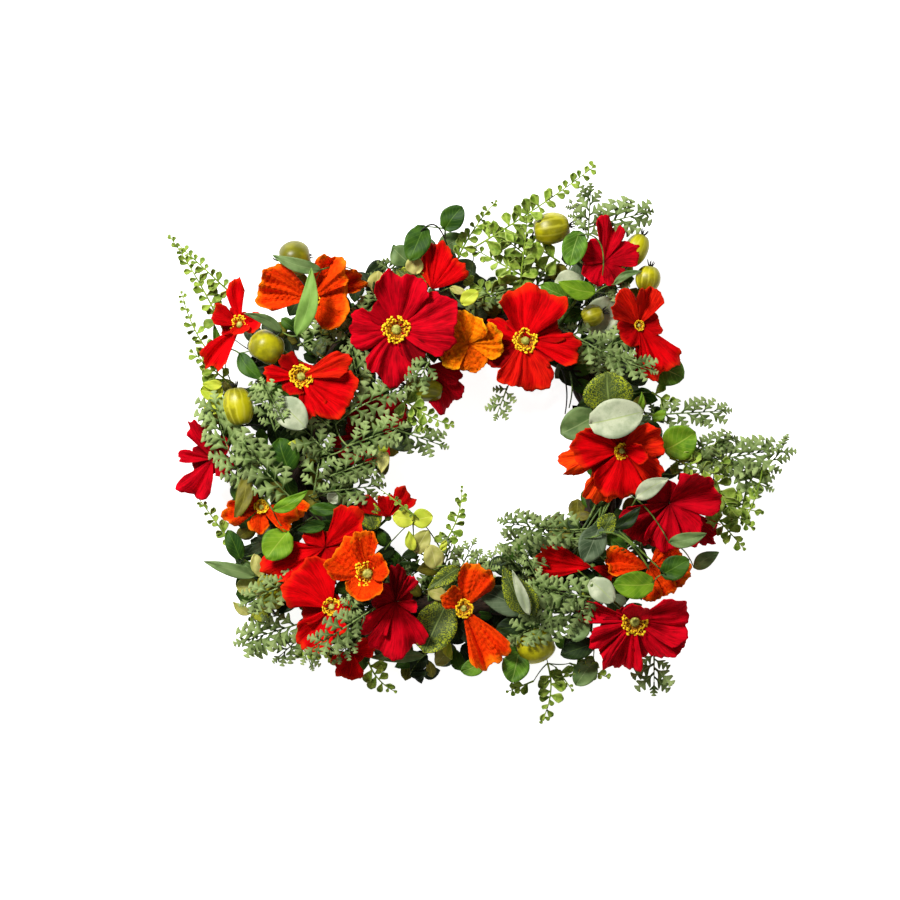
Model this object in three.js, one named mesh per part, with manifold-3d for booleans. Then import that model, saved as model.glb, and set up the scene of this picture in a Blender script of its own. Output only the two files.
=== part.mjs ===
// A poppy wreath lying on its back: silk poppies, small fruit and greenery wired on a twisted vine ring.
// Millimetres. Z = 0 is the surface it lies on, +Z looks out of its face, +Y is the top of the face.

import * as THREE from "three";
import { mergeVertices } from "three/addons/utils/BufferGeometryUtils.js";
import Module from "manifold-3d";

const wasm = await Module();
wasm.setup();

// ---------------------------------------------------------------- driving dimensions

const RING_RADIUS = 155; // centre line of the vine ring
const RING_THICK = 21; // half the thickness of the vine
const RING_TOP = 36; // height of the vine over the surface
const TWIST_DEPTH = 2.4; // how far the twisted vines stand out of the ring
const RING_SIDES = 8;
const RING_STEPS = 26;
const GAP = 0.3; // air between two pieces
const EDGE_GAP = 0.8; // the same at a thin edge
const SAME_POINT = 1e-3; // vertices nearer than this are one
const SMALLEST = 0.2; // a detail under this size is smoothed away
const HEART_RADIUS = 13;
const HEART_HEIGHT = 9;
const HUB = 11; // radius of a poppy where no petal shows
const LEAF_THICK = 2.2;
const STALK = 1.7; // radius of a leaf stalk
const STEM = 2.8; // radius of a flower stem
const DISH = 0.2; // how far the sides of a petal curl up

const PETAL_SPOKES = [-1.1, -0.85, 0, 0.85, 1.1]; // shares of a petal's half angle

// ---------------------------------------------------------------- finishes

const silk = (color) => new THREE.MeshStandardMaterial({ color, roughness: 0.7, metalness: 0 });
const CRIMSON = silk(0xc4081c);
const SCARLET = silk(0xe01b12);
const ORANGE = silk(0xf06a12);
const FRUIT = new THREE.MeshStandardMaterial({ color: 0xa9b52a, roughness: 0.35, metalness: 0 });
const LEAF = silk(0x5c8a22);
const SAGE = silk(0x7f9a6c);
const FERN = silk(0x93a94c);
const VINE = new THREE.MeshStandardMaterial({ color: 0x2e2219, roughness: 0.9, metalness: 0 });

// ---------------------------------------------------------------- the arrangement
// Places are millimetres from the ring's centre and above the surface; directions are degrees from +X.

// A poppy: at = the heart, lean = [direction, degrees], heart = size of the ring of stamens,
// petals = [direction, length, half its angle, pitch].
const poppies = {
  crimson_poppy_1: {
    silk: CRIMSON, at: [-60, 129, 80], lean: [0, 0], heart: 1,
    petals: [[78, 56, 40, 16], [8, 60, 47, 10], [183, 49, 36, 8], [252, 54, 36, 2], [316, 40, 30, 4]],
  },
  crimson_poppy_2: {
    silk: CRIMSON, at: [-29, 94, 50], lean: [300, 15], heart: 0,
    petals: [[303, 46, 26, 4], [350, 32, 26, 10], [255, 26, 30, 10]],
  },
  crimson_poppy_3: {
    silk: CRIMSON, at: [146, 196, 62], lean: [60, 20], heart: 0,
    petals: [[83, 42, 20, 12], [20, 36, 28, 16], [345, 32, 20, 10], [262, 30, 34, 10], [195, 22, 34, 20]],
  },
  crimson_poppy_4: {
    silk: CRIMSON, at: [211, -42, 68], lean: [270, 24], heart: 0,
    petals: [[32, 54, 27, 24], [294, 44, 46, 26], [226, 50, 32, 6], [320, 62, 20, 10], [188, 46, 14, 10]],
  },
  crimson_poppy_5: {
    silk: CRIMSON, at: [176, -159, 72], lean: [270, 16], heart: 0.9,
    petals: [[8, 54, 36, 12], [326, 52, 30, 6], [252, 54, 26, 4], [212, 50, 24, 8], [168, 56, 15, -4], [84, 26, 48, 52]],
  },
  crimson_poppy_6: {
    silk: CRIMSON, at: [-61, -140, 66], lean: [270, 15], heart: 0,
    petals: [[276, 54, 42, 12], [224, 42, 26, 20], [88, 48, 13, 22], [2, 28, 20, 40]],
  },
  crimson_poppy_7: {
    silk: CRIMSON, at: [-243, 1, 46], lean: [180, 16], heart: 0,
    petals: [[118, 42, 14, 22], [172, 34, 12, 14], [233, 44, 30, 8], [30, 20, 34, 10]],
  },
  scarlet_poppy_1: {
    silk: SCARLET, at: [67, 118, 78], lean: [20, 6], heart: 0.95,
    petals: [[84, 55, 47, 14], [348, 56, 24, 10], [273, 52, 42, 4], [208, 42, 26, 2], [158, 34, 20, 0]],
  },
  scarlet_poppy_2: {
    silk: SCARLET, at: [-155, 82, 70], lean: [60, 12], heart: 0.9,
    petals: [[328, 55, 34, 8], [20, 50, 15, 34], [176, 38, 17, 10], [292, 42, 24, 2], [130, 28, 26, 16]],
  },
  scarlet_poppy_3: {
    silk: SCARLET, at: [-216, 134, 58], lean: [120, 16], heart: 0.7,
    petals: [[95, 44, 13, 20], [160, 29, 26, 24], [282, 20, 52, 40], [352, 26, 36, 26], [235, 54, 17, 4]],
  },
  scarlet_poppy_4: {
    silk: SCARLET, at: [-25, 170, 58], lean: [80, 15], heart: 0,
    petals: [[78, 46, 24, 14], [38, 40, 24, 18], [110, 34, 14, 10]],
  },
  scarlet_poppy_5: {
    silk: SCARLET, at: [180, 134, 66], lean: [350, 15], heart: 0.35,
    petals: [[125, 38, 24, 26], [78, 38, 22, 30], [302, 56, 26, 8], [280, 50, 15, 2]],
  },
  scarlet_poppy_6: {
    silk: SCARLET, at: [163, 10, 78], lean: [270, 14], heart: 0.8,
    petals: [[262, 46, 40, 8], [168, 50, 30, 14], [30, 44, 34, 18], [326, 46, 24, 6], [196, 62, 15, -6]],
  },
  scarlet_poppy_7: {
    silk: SCARLET, at: [-124, -146, 72], lean: [120, 10], heart: 0.7,
    petals: [[132, 52, 46, 14], [243, 48, 32, 4], [350, 22, 34, 24], [284, 30, 26, 6]],
  },
  scarlet_poppy_8: {
    silk: SCARLET, at: [-131, -87, 56], lean: [180, 10], heart: 0,
    petals: [[196, 62, 22, 8], [62, 50, 26, 12], [240, 32, 34, 2], [130, 26, 28, 14]],
  },
  scarlet_poppy_9: {
    silk: SCARLET, at: [-69, -57, 48], lean: [90, 10], heart: 0,
    petals: [[92, 23, 34, 22], [48, 34, 26, 12], [150, 34, 20, 8]],
  },
  scarlet_poppy_10: {
    silk: SCARLET, at: [-105, -192, 46], lean: [270, 15], heart: 0,
    petals: [[262, 28, 40, 16], [205, 22, 30, 16], [28, 24, 34, 14]],
  },
  scarlet_poppy_11: {
    silk: SCARLET, at: [135, -107, 42], lean: [180, 8], heart: 0,
    petals: [[170, 56, 24, 4], [345, 24, 22, 6]],
  },
  orange_poppy_1: {
    silk: ORANGE, at: [-145, 160, 70], lean: [0, 6], heart: 0.55,
    petals: [[170, 55, 31, 10], [14, 40, 56, 26], [290, 34, 20, 20]],
  },
  orange_poppy_2: {
    silk: ORANGE, at: [12, 115, 66], lean: [80, 16], heart: 0,
    petals: [[118, 32, 36, 30], [52, 38, 38, 26], [248, 26, 56, 22], [350, 34, 24, 28], [190, 32, 24, 20]],
  },
  orange_poppy_3: {
    silk: ORANGE, at: [191, -107, 62], lean: [90, 10], heart: 0,
    petals: [[170, 42, 18, 12], [40, 38, 26, 10], [350, 42, 26, 8], [312, 34, 18, 6], [280, 34, 18, 4]],
  },
  orange_poppy_4: {
    silk: ORANGE, at: [6, -147, 74], lean: [0, 8], heart: 0.75,
    petals: [[66, 46, 29, 18], [140, 28, 36, 24], [302, 68, 17, 10]],
  },
  orange_poppy_5: {
    silk: ORANGE, at: [-88, -113, 84], lean: [130, 10], heart: 0.9,
    petals: [[148, 44, 42, 26], [95, 44, 22, 30], [16, 28, 58, 54], [262, 30, 56, 46]],
  },
  orange_poppy_6: {
    silk: ORANGE, at: [-195, -48, 56], lean: [90, 16], heart: 0.5,
    petals: [[196, 40, 24, 16], [334, 38, 28, 12], [356, 48, 14, 10], [140, 24, 30, 24], [262, 26, 30, 4]],
  },
};

// A fruit: berries = [x, y, height, radius across, radius along, direction of its long axis].
const fruits = {
  green_apple_1: [[-189, 112, 72, 18, 17, 60]],
  green_apple_2: [[-162, 206, 52, 18, 17, 10]],
  green_apple_3: [[78, -186, 58, 17, 21, 20]],
  gooseberry_1: [[94, 231, 55, 16, 20, 10]],
  gooseberry_2: [[-218, 53, 62, 15.5, 21, 100]],
  gooseberry_3: [[-33, 72, 40, 12, 21, 170]],
  gooseberry_4: [[-187, -132, 48, 15, 20, 275]],
  gooseberry_5: [[135, 144, 58, 11, 12, 20]],
  gooseberry_pair: [[179, 210, 50, 12, 18, 65], [191, 181, 52, 12.5, 14, 80]],
};

// Greenery: from = the direction of the ring where the pick is wired in,
// blades = [base x, base y, tip x, tip y, width, height, rise of the tip, sideways bow].
const leafPicks = {
  round_leaves_top: {
    from: 100,
    blades: [
      [-12, 230, 5, 252, 24, 66, 4],
      [-33, 232, -47, 198, 26, 64, 6],
      [-32, 168, -60, 190, 26, 50, 3],
    ],
  },
  round_leaves_top_right: {
    from: 49,
    blades: [
      [121, 226, 111, 192, 25, 76, 8],
      [137, 166, 100, 176, 20, 76, 10],
      [155, 160, 133, 126, 34, 46, 3],
    ],
  },
  broad_leaves_right: {
    from: 14,
    blades: [
      [151, 49, 147, 87, 50, 92, 10],
      [147, 54, 159, 16, 50, 100, 7],
      [137, 44, 103, 26, 34, 64, 3],
      [198, 95, 227, 82, 32, 46, 3],
    ],
  },
  green_leaves_right: {
    from: 355,
    blades: [
      [207, 10, 237, 28, 36, 62, 5],
      [237, -108, 262, -92, 16, 50, 2],
      [141, -67, 126, -101, 28, 74, 6],
    ],
  },
  round_leaves_bottom_right: {
    from: 320,
    blades: [
      [193, -122, 154, -122, 28, 86, 8],
      [203, -113, 229, -98, 24, 84, 5],
      [137, -182, 103, -194, 21, 60, 2],
    ],
  },
  folded_leaves_bottom: {
    from: 284,
    blades: [
      [70, -152, 45, -104, 24, 88, 14],
      [65, -152, 17, -130, 28, 66, 5],
      [61, -192, 54, -221, 28, 66, 4],
      [27, -201, 4, -211, 18, 56, 3],
    ],
  },
  mixed_leaves_bottom_left: {
    from: 256,
    blades: [
      [-11, -144, -33, -192, 42, 58, 3],
      [-33, -196, -88, -198, 13, 40, 2],
      [-41, -92, -29, -70, 19, 58, 3],
      [-21, -107, -27, -84, 21, 66, 4],
      [2, -106, -29, -128, 17, 84, 9],
    ],
  },
  round_leaves_left: {
    from: 204,
    blades: [
      [-169, -72, -189, -98, 32, 68, 7],
      [-201, -116, -253, -101, 14, 50, 7],
      [-182, -50, -147, -30, 14, 80, 11],
      [-209, -14, -221, -62, 17, 64, 9],
    ],
  },
  pale_leaves_left: {
    from: 173,
    blades: [
      [-181, 62, -151, 32, 34, 54, 4],
      [-167, -10, -177, 22, 32, 62, 5],
      [-235, 68, -257, 70, 20, 45, 2],
    ],
  },
  long_leaves_top_left: {
    from: 144,
    blades: [
      [-158, 122, -143, 189, 19, 96, 12],
      [-134, 188, -182, 202, 14, 88, 6],
      [-173, 127, -209, 144, 11, 84, 20],
    ],
  },
};

const frondPicks = {
  dusty_fronds_left: {
    from: 186,
    blades: [
      [-205, -32, -240, 55, 42, 68, 9, 5],
      [-163, -40, -209, 14, 36, 64, 8, 2],
      [-181, 28, -195, 72, 26, 66, 6, 0],
    ],
  },
  dusty_fronds_inner_left: {
    from: 149,
    blades: [
      [-127, 5, -153, 32, 32, 66, 6, 0],
      [-109, 14, -60, 32, 30, 74, 7, 0],
      [-121, 36, -59, 68, 32, 66, 8, 4],
      [-65, 32, -19, 16, 28, 48, 3, 0],
    ],
  },
  dusty_fronds_top: {
    from: 68,
    blades: [
      [51, 74, 41, 48, 22, 40, 1, 0],
    ],
  },
  dusty_fronds_top_right: {
    from: 57,
    blades: [
      [131, 222, 133, 265, 28, 52, 3, 0],
      [129, 232, 184, 246, 32, 50, 4, 0],
    ],
  },
  dusty_fronds_upper_right: {
    from: 43,
    blades: [
      [99, 134, 167, 94, 28, 70, 5, 0],
    ],
  },
  dusty_fronds_right: {
    from: 9,
    blades: [
      [193, 45, 264, 49, 28, 52, 5, 0],
      [245, -2, 305, 8, 36, 52, 6, 0],
      [295, -10, 328, 18, 22, 48, 2, -6],
    ],
  },
  dusty_fronds_bottom: {
    from: 301,
    blades: [
      [135, -68, 51, -62, 30, 64, 6, 4],
      [123, -72, 47, -84, 26, 60, 3, -4],
      [147, -138, 81, -128, 34, 76, 7, 0],
      [123, -158, 59, -174, 30, 70, 4, -4],
    ],
  },
  dusty_fronds_bottom_left: {
    from: 241,
    blades: [
      [-157, -118, -207, -140, 28, 62, 5, 0],
      [-151, -162, -209, -180, 38, 42, 2, 0],
      [-91, -152, -141, -184, 28, 98, 6, 0],
    ],
  },
  dusty_fronds_bottom_right: {
    from: 317,
    blades: [[198, -192, 198, -224, 32, 36, 0, 0]],
  },
};

const fernPicks = {
  fern_sprigs_top_left: {
    from: 151,
    blades: [
      [-233, 128, -287, 224, 20, 48, 13, -3],
      [-221, 162, -277, 214, 18, 52, 12, 0],
      [-231, 88, -275, 168, 18, 44, 13, 7],
    ],
  },
  fern_sprigs_top: {
    from: 74,
    blades: [
      [33, 220, 137, 292, 22, 60, 14, 0],
      [5, 210, 37, 257, 18, 50, 8, 3],
      [88, 190, 33, 232, 28, 52, 4, 0],
      [63, 176, 71, 248, 28, 54, 10, 0],
    ],
  },
  fern_sprigs_inner_left: {
    from: 136,
    blades: [[-61, 66, -5, 34, 22, 56, 4, -3]],
  },
  fern_sprigs_right: {
    from: 354,
    blades: [
      [257, -10, 295, -68, 26, 52, 4, -8],
      [305, -4, 285, -62, 24, 46, 2, -6],
    ],
  },
  fern_sprigs_bottom: {
    from: 298,
    blades: [
      [91, -204, 85, -262, 24, 40, 0, 6],
      [113, -204, 151, -218, 20, 38, 0, 0],
    ],
  },
  fern_sprigs_bottom_left: {
    from: 222,
    blades: [
      [-89, -202, -63, -232, 22, 38, 0, -4],
      [-223, -88, -259, -38, 18, 42, 4, 0],
    ],
  },
  fern_sprigs_inner_bottom: {
    from: 258,
    blades: [[-17, -88, 5, -27, 18, 48, 6, -6]],
  },
};

// ---------------------------------------------------------------- solids

const radians = THREE.MathUtils.degToRad;
const vector = (x, y, z) => new THREE.Vector3(x, y, z);

function solidOf(geometry) {
  const shared = geometry.clone();
  shared.deleteAttribute("normal");
  shared.deleteAttribute("uv");
  const merged = mergeVertices(shared, SAME_POINT);
  return new wasm.Manifold(
    new wasm.Mesh({
      numProp: 3,
      vertProperties: merged.attributes.position.array,
      triVerts: new Uint32Array(merged.index.array),
    }),
  );
}

// Moves every vertex of a geometry to where the formula puts it.
function reshaped(geometry, formula) {
  const position = geometry.attributes.position;
  const point = new THREE.Vector3();
  for (let i = 0; i < position.count; i++) {
    formula(point.fromBufferAttribute(position, i));
    position.setXYZ(i, point.x, point.y, point.z);
  }
  return geometry;
}

const joined = (solids) => solids.reduce((sum, solid) => sum.add(solid));

function largest(solid) {
  return solid.decompose().reduce((best, body) => (body.volume() > best.volume() ? body : best));
}

// A straight tapered rod.
function rod(from, to, startRadius, endRadius, sides, grow) {
  const axis = to.clone().sub(from);
  const geometry = new THREE.CylinderGeometry(
    endRadius + 2 * grow, startRadius + 2 * grow, axis.length() + 2 * grow, sides,
  );
  const turn = new THREE.Quaternion().setFromUnitVectors(vector(0, 1, 0), axis.clone().normalize());
  geometry.applyQuaternion(turn);
  geometry.translate(...from.clone().add(to).multiplyScalar(0.5).toArray());
  return solidOf(geometry);
}

// The point on top of the ring that a stem or stalk is wired to.
function ringPoint(direction, height = RING_TOP + TWIST_DEPTH + 3) {
  const angle = radians(direction);
  return vector(RING_RADIUS * Math.cos(angle), RING_RADIUS * Math.sin(angle), height);
}

const directionOf = (x, y) => THREE.MathUtils.radToDeg(Math.atan2(y, x));

// The middle line of a blade, with the directions to its side and out of its face.
function bladeLine([baseX, baseY, tipX, tipY, , height, rise, bow = 0]) {
  const base = vector(baseX, baseY, height);
  const tip = vector(tipX, tipY, height + rise);
  const along = tip.clone().sub(base);
  const side = vector(-along.y, along.x, 0).normalize();
  const up = new THREE.Vector3().crossVectors(along, side).normalize();
  const middle = base.clone().add(tip).multiplyScalar(0.5).addScaledVector(side, 2 * bow);
  return { curve: new THREE.QuadraticBezierCurve3(base, middle, tip), side, up };
}

// One corner of a blade's section, flat above and keeled below: corner = a point of the unit cone's rim.
function sectionPoint(centre, side, up, halfWidth, depth, corner, grow) {
  const spread = Math.sign(Math.round(2 * corner.x)) * (halfWidth + 2 * grow);
  const keel = corner.z > 0.9 ? -depth - 2.5 * grow : 0;
  const crown = corner.z < -0.9 ? 2.5 * grow : 0;
  return centre.clone().addScaledVector(side, spread).addScaledVector(up, keel + crown);
}

// A thin blade: stations = [share of its length, share of its half width].
function blade(row, stations, grow) {
  const { curve, side, up } = bladeLine(row);
  const geometry = new THREE.ConeGeometry(1, 1, grow ? 4 : 3, stations.length);
  return solidOf(
    reshaped(geometry, (point) => {
      const step = Math.round((point.y + 0.5) * stations.length);
      const isTip = step === stations.length;
      const [share, halfWidth] = isTip ? [1, 0] : stations[step];
      const past = isTip ? 2 * grow : step ? 0 : -2 * grow;
      const centre = curve.getPoint(share).addScaledVector(curve.getTangent(share), past);
      const radius = Math.hypot(point.x, point.z);
      if (radius < 1e-6) {
        point.copy(centre);
        return;
      }
      const wide = step ? (halfWidth * row[4]) / 2 : STALK;
      const corner = point.clone().divideScalar(radius);
      point.copy(sectionPoint(centre, side, up, wide, LEAF_THICK, corner, grow));
    }),
  );
}

// A stalk that runs from a joint into the foot of a blade, slimmer than the blade's first section.
function stalk(joint, row, grow) {
  const { curve, side, up } = bladeLine(row);
  const base = curve.getPoint(0).addScaledVector(up, -0.2 * LEAF_THICK);
  const heading = base.clone().sub(joint).normalize();
  if (heading.dot(curve.getTangent(0)) < 0.3) {
    const inside = curve.getPoint(0.16).addScaledVector(up, -LEAF_THICK / 2);
    return rod(joint, inside, STALK, STALK, 3, grow);
  }
  const startSide = vector(-heading.y, heading.x, 0).normalize();
  const startUp = new THREE.Vector3().crossVectors(heading, startSide).normalize();
  const geometry = new THREE.CylinderGeometry(1, 1, 1, 3);
  return solidOf(
    reshaped(geometry, (point) => {
      const atBlade = point.y > 0;
      const [across, out] = atBlade ? [side, up] : [startSide, startUp];
      const spot = (atBlade ? base : joint).clone();
      spot.addScaledVector(heading, atBlade ? 1 + 2 * grow : -2 * grow);
      if (Math.hypot(point.x, point.z) > 1e-6) {
        spot.addScaledVector(across, 0.87 * point.x * (STALK + 3 * grow));
        spot.addScaledVector(out, -0.55 * point.z * (STALK + 4 * grow) - 0.3);
      }
      point.copy(spot);
    }),
  );
}

const LEAF_STATIONS = [[0, 0.16], [0.45, 1], [0.85, 0.7]];
const LONG_STATIONS = [[0, 0.3], [0.4, 1]];
const PLAIN_STATIONS = [[0, 0.35], [0.14, 1.12], [0.5, 1.12], [0.94, 1.12]]; // wide enough to hold every other outline

function toothed(pairs) {
  const stations = [];
  for (let i = 0; i < pairs; i++) {
    const reach = Math.sin(Math.PI * (0.25 + (0.6 * i) / pairs));
    stations.push([i / pairs, 0.2]);
    stations.push([(i + 0.75) / pairs, reach]);
  }
  return stations;
}

const TOOTHED_STATIONS = toothed(2);

function leafStations([baseX, baseY, tipX, tipY, width]) {
  return width < 0.45 * Math.hypot(tipX - baseX, tipY - baseY) ? LONG_STATIONS : LEAF_STATIONS;
}

// ---------------------------------------------------------------- pieces
// Each piece gives its stalks and its shapes; grow makes both that much larger.

// The angle from one direction to another, -180 to 180.
const turnBetween = (from, to) => THREE.MathUtils.euclideanModulo(to - from + 180, 360) - 180;

// How far a petal reaches in a direction, and how high its edge is there.
function petalEdge([middle, length, halfAngle, pitch], direction) {
  const share = Math.abs(turnBetween(middle, direction)) / halfAngle;
  const reach = share < 1 ? length * (1 - 0.1 * share ** 2 - 0.14 * share ** 4) : 0;
  const across = Math.min(1, share) * length * Math.sin(radians(halfAngle));
  return { reach: reach * Math.cos(radians(pitch)), height: reach * Math.sin(radians(pitch)) + DISH * across };
}

// The outline of all the petals together, seen from the front: one point for each spoke.
function petalOutline(petals) {
  const spokes = petals.flatMap(([middle, , halfAngle]) =>
    PETAL_SPOKES.map((share) => THREE.MathUtils.euclideanModulo(middle + share * halfAngle, 360)),
  );
  for (let direction = 0; direction < 360; direction += 60) {
    const crowded = spokes.some((spoke) => Math.abs(turnBetween(spoke, direction)) < 25);
    if (!crowded) spokes.push(direction);
  }
  spokes.sort((a, b) => a - b);
  const points = spokes.map((direction) => {
    const edges = petals.map((row) => petalEdge(row, direction));
    const best = edges.reduce((far, edge) => (edge.reach > far.reach ? edge : far));
    return best.reach > HUB ? { direction, ...best } : { direction, reach: HUB, height: 1 };
  });
  return points.filter((point, i) => !i || turnBetween(points[i - 1].direction, point.direction) > 2.5);
}

// All the petals as one thin dish with a lobed outline, and the stamens as a boss in its middle.
function petalDish(petals, heart, grow) {
  const outline = petalOutline(petals);
  const rimPoint = (i) => {
    const { direction, reach } = outline[(i + outline.length) % outline.length];
    return vector(reach * Math.cos(radians(direction)), reach * Math.sin(radians(direction)), 0);
  };
  const bossHeight = HEART_HEIGHT * heart;
  return reshaped(new THREE.SphereGeometry(1, outline.length, grow ? 4 : 3), (point) => {
    if (Math.hypot(point.x, point.z) < 0.1) {
      point.set(0, 0, point.y > 0 ? 1 + 1.2 * bossHeight + 3 * grow : -4 - 4 * grow);
      return;
    }
    const turn = THREE.MathUtils.euclideanModulo(Math.atan2(point.z, -point.x) / (2 * Math.PI), 1);
    const spoke = Math.round(turn * outline.length) % outline.length;
    const { reach, height } = outline[spoke];
    const rim = rimPoint(spoke);
    if (point.y < 0.3) {
      const chord = rimPoint(spoke + 1).sub(rimPoint(spoke - 1)).normalize();
      const clear = vector(chord.y, -chord.x, point.y < -0.3 ? -1 : 1).multiplyScalar(EDGE_GAP);
      point.set(rim.x, rim.y, height);
      if (grow) point.add(clear);
      return;
    }
    const share = heart ? Math.min((HEART_RADIUS * heart) / reach, 0.8) : 0.55;
    point.copy(rim.multiplyScalar(share)).setZ(share * height + Math.max(1, bossHeight) + 3 * grow);
  });
}

function poppy(name, { silk: material, at, lean, heart, petals }) {
  const centre = vector(...at);
  const toward = radians(lean[0]);
  const tilt = new THREE.Quaternion().setFromAxisAngle(
    vector(-Math.sin(toward), Math.cos(toward), 0), radians(lean[1]),
  );
  const pose = new THREE.Matrix4().compose(centre, tilt, vector(1, 1, 1));
  const foot = ringPoint(directionOf(at[0], at[1]));
  return {
    name,
    material,
    stalks: (grow) => [rod(foot, centre, STEM, 1.6 * STEM, 3, grow)],
    shapes: (grow) => [solidOf(petalDish(petals, heart, grow).applyMatrix4(pose))],
  };
}

// A round or long berry with a dimple at each end.
function berry([x, y, height, across, along, direction], grow) {
  const geometry = reshaped(new THREE.SphereGeometry(1, 7, 4), (point) => {
    const pole = Math.abs(point.y) > 0.99 ? 0.86 : 1;
    point.set(point.x * (across + grow), point.y * pole * (along + grow), point.z * (across + grow));
  });
  geometry.rotateZ(radians(direction - 90));
  geometry.translate(x, y, height);
  return solidOf(geometry);
}

function fruit(name, berries) {
  const centres = berries.map(([x, y, height]) => vector(x, y, height));
  const foot = ringPoint(directionOf(berries[0][0], berries[0][1]));
  return {
    name,
    material: FRUIT,
    stalks: (grow) => centres.map((centre) => rod(foot, centre, STALK, STALK, 4, grow)),
    shapes: (grow) => berries.map((row) => berry(row, grow)),
  };
}

function greenery(name, material, { from, blades }, stationsOf) {
  const bases = blades.map((row) => bladeLine(row).curve.getPoint(0));
  return {
    name,
    material,
    stalks: (grow) =>
      bases.map((base, i) => {
        const joints = [ringPoint(from), ...bases.slice(0, i)];
        const nearest = joints.reduce((a, b) => (b.distanceTo(base) < a.distanceTo(base) ? b : a));
        return stalk(nearest, blades[i], grow);
      }),
    shapes: (grow) => blades.map((row) => blade(row, grow ? PLAIN_STATIONS : stationsOf(row), grow)),
  };
}

function vineRing() {
  const ring = (grow) => {
    const geometry = new THREE.TorusGeometry(RING_RADIUS, 1, RING_SIDES, RING_STEPS);
    return solidOf(
      reshaped(geometry, (point) => {
        const turn = Math.atan2(point.y, point.x);
        const outward = Math.hypot(point.x, point.y) - RING_RADIUS;
        const round = Math.atan2(point.z, outward);
        const thick = RING_THICK + TWIST_DEPTH * Math.cos(3 * round + 10 * turn) + 1.5 * grow;
        const reach = RING_RADIUS + thick * Math.cos(round);
        const underside = Math.sin(round) < -0.6;
        const height = RING_TOP / 2 + (thick - RING_THICK + RING_TOP / 2) * Math.sin(round);
        point.set(reach * Math.cos(turn), reach * Math.sin(turn), underside ? -2 * grow : height);
      }),
    );
  };
  return { name: "vine_ring", material: VINE, stalks: () => [], shapes: (grow) => [ring(grow)] };
}

// ---------------------------------------------------------------- assembly

const entries = Object.entries;
const pieces = [
  vineRing(),
  ...entries(fruits).map(([name, berries]) => fruit(name, berries)),
  ...entries(poppies).map(([name, plan]) => poppy(name, plan)),
  ...entries(leafPicks).map(([name, plan]) => greenery(name, LEAF, plan, leafStations)),
  ...entries(frondPicks).map(([name, plan]) => greenery(name, SAGE, plan, () => TOOTHED_STATIONS)),
  ...entries(fernPicks).map(([name, plan]) => greenery(name, FERN, plan, () => TOOTHED_STATIONS)),
];

const grown = pieces.map((piece) => ({
  stalks: piece.stalks(GAP),
  shapes: piece.shapes(GAP),
}));

function geometryOf(solid) {
  const mesh = solid.getMesh();
  return new THREE.BufferGeometry()
    .setAttribute("position", new THREE.BufferAttribute(mesh.vertProperties, mesh.numProp))
    .setIndex(new THREE.BufferAttribute(mesh.triVerts, 1));
}

// A solid less every one of the cutters that comes near it.
function clearOf(solid, cutters) {
  const box = solid.boundingBox();
  const near = cutters.filter((cutter) => {
    const other = cutter.boundingBox();
    return [0, 1, 2].every((k) => box.min[k] < other.max[k] && other.min[k] < box.max[k]);
  });
  return near.length ? solid.subtract(joined(near)) : solid;
}

// Stalks push through other pieces' blades; otherwise the earlier piece keeps the room.
function fitted(piece, index) {
  const earlier = grown.slice(0, index);
  const others = grown.filter((_, k) => k !== index);
  const stalks = piece.stalks(0).map((stalk) => {
    return clearOf(stalk, [...earlier.flatMap((one) => one.stalks), ...grown[0].shapes]);
  });
  const cutters = [...others.flatMap((one) => one.stalks), ...earlier.flatMap((one) => one.shapes)];
  const shapes = piece.shapes(0).map((shape) => clearOf(shape, cutters));
  const whole = largest(joined([...stalks, ...shapes]).simplify(SMALLEST));
  return geometryOf(largest(solidOf(geometryOf(whole))));
}

const group = new THREE.Group();
pieces.forEach((piece, index) => {
  const mesh = new THREE.Mesh(fitted(piece, index), piece.material);
  mesh.name = piece.name;
  group.add(mesh);
});

// The origin is the bottom centre of the whole wreath.
const box = new THREE.Box3().setFromObject(group);
const centre = box.getCenter(new THREE.Vector3());
group.children.forEach((mesh) => mesh.position.set(-centre.x, -centre.y, -box.min.z));

export default group;
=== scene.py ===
"""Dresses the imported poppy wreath: silk poppies, small fruit, leaves, fronds and ferns on a twisted vine ring."""

import math

import bpy
import numpy as np
from mathutils import Matrix, Vector


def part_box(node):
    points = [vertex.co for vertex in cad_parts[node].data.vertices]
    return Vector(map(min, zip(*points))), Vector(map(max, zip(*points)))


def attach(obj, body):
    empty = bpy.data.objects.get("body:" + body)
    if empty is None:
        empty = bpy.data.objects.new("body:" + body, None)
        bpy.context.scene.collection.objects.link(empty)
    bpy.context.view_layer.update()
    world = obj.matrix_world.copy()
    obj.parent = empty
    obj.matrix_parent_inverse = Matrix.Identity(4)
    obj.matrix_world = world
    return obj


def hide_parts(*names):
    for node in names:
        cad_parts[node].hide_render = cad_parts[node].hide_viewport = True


bl_info = {
    "name": "Poppy wreath",
    "version": (1, 0, 0),
    "blender": (4, 5, 0),
    "location": "View3D > Sidebar > Wreath",
    "description": "Makes a wreath of silk poppies and greenery around its frame",
    "category": "Add Mesh",
}

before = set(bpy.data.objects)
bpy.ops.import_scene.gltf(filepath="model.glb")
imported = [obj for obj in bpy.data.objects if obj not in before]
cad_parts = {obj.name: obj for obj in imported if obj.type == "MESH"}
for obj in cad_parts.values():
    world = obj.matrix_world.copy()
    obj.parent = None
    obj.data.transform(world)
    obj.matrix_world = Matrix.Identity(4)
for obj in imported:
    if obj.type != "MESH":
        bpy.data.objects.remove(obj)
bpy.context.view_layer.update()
RING_LOW, RING_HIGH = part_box("vine_ring")

MM = 0.001
RING_CENTRE = np.array([*((RING_LOW + RING_HIGH) / 2 / MM).xy, 0])
CAMERA_HEIGHT = 3.0
VIEW_WIDTH = 0.9  # what the camera takes in at the height of the flowers
FLOWER_LEVEL = 0.05
CAMERA_SHIFT = (-7, 10)  # from the ring's middle, mm

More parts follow.
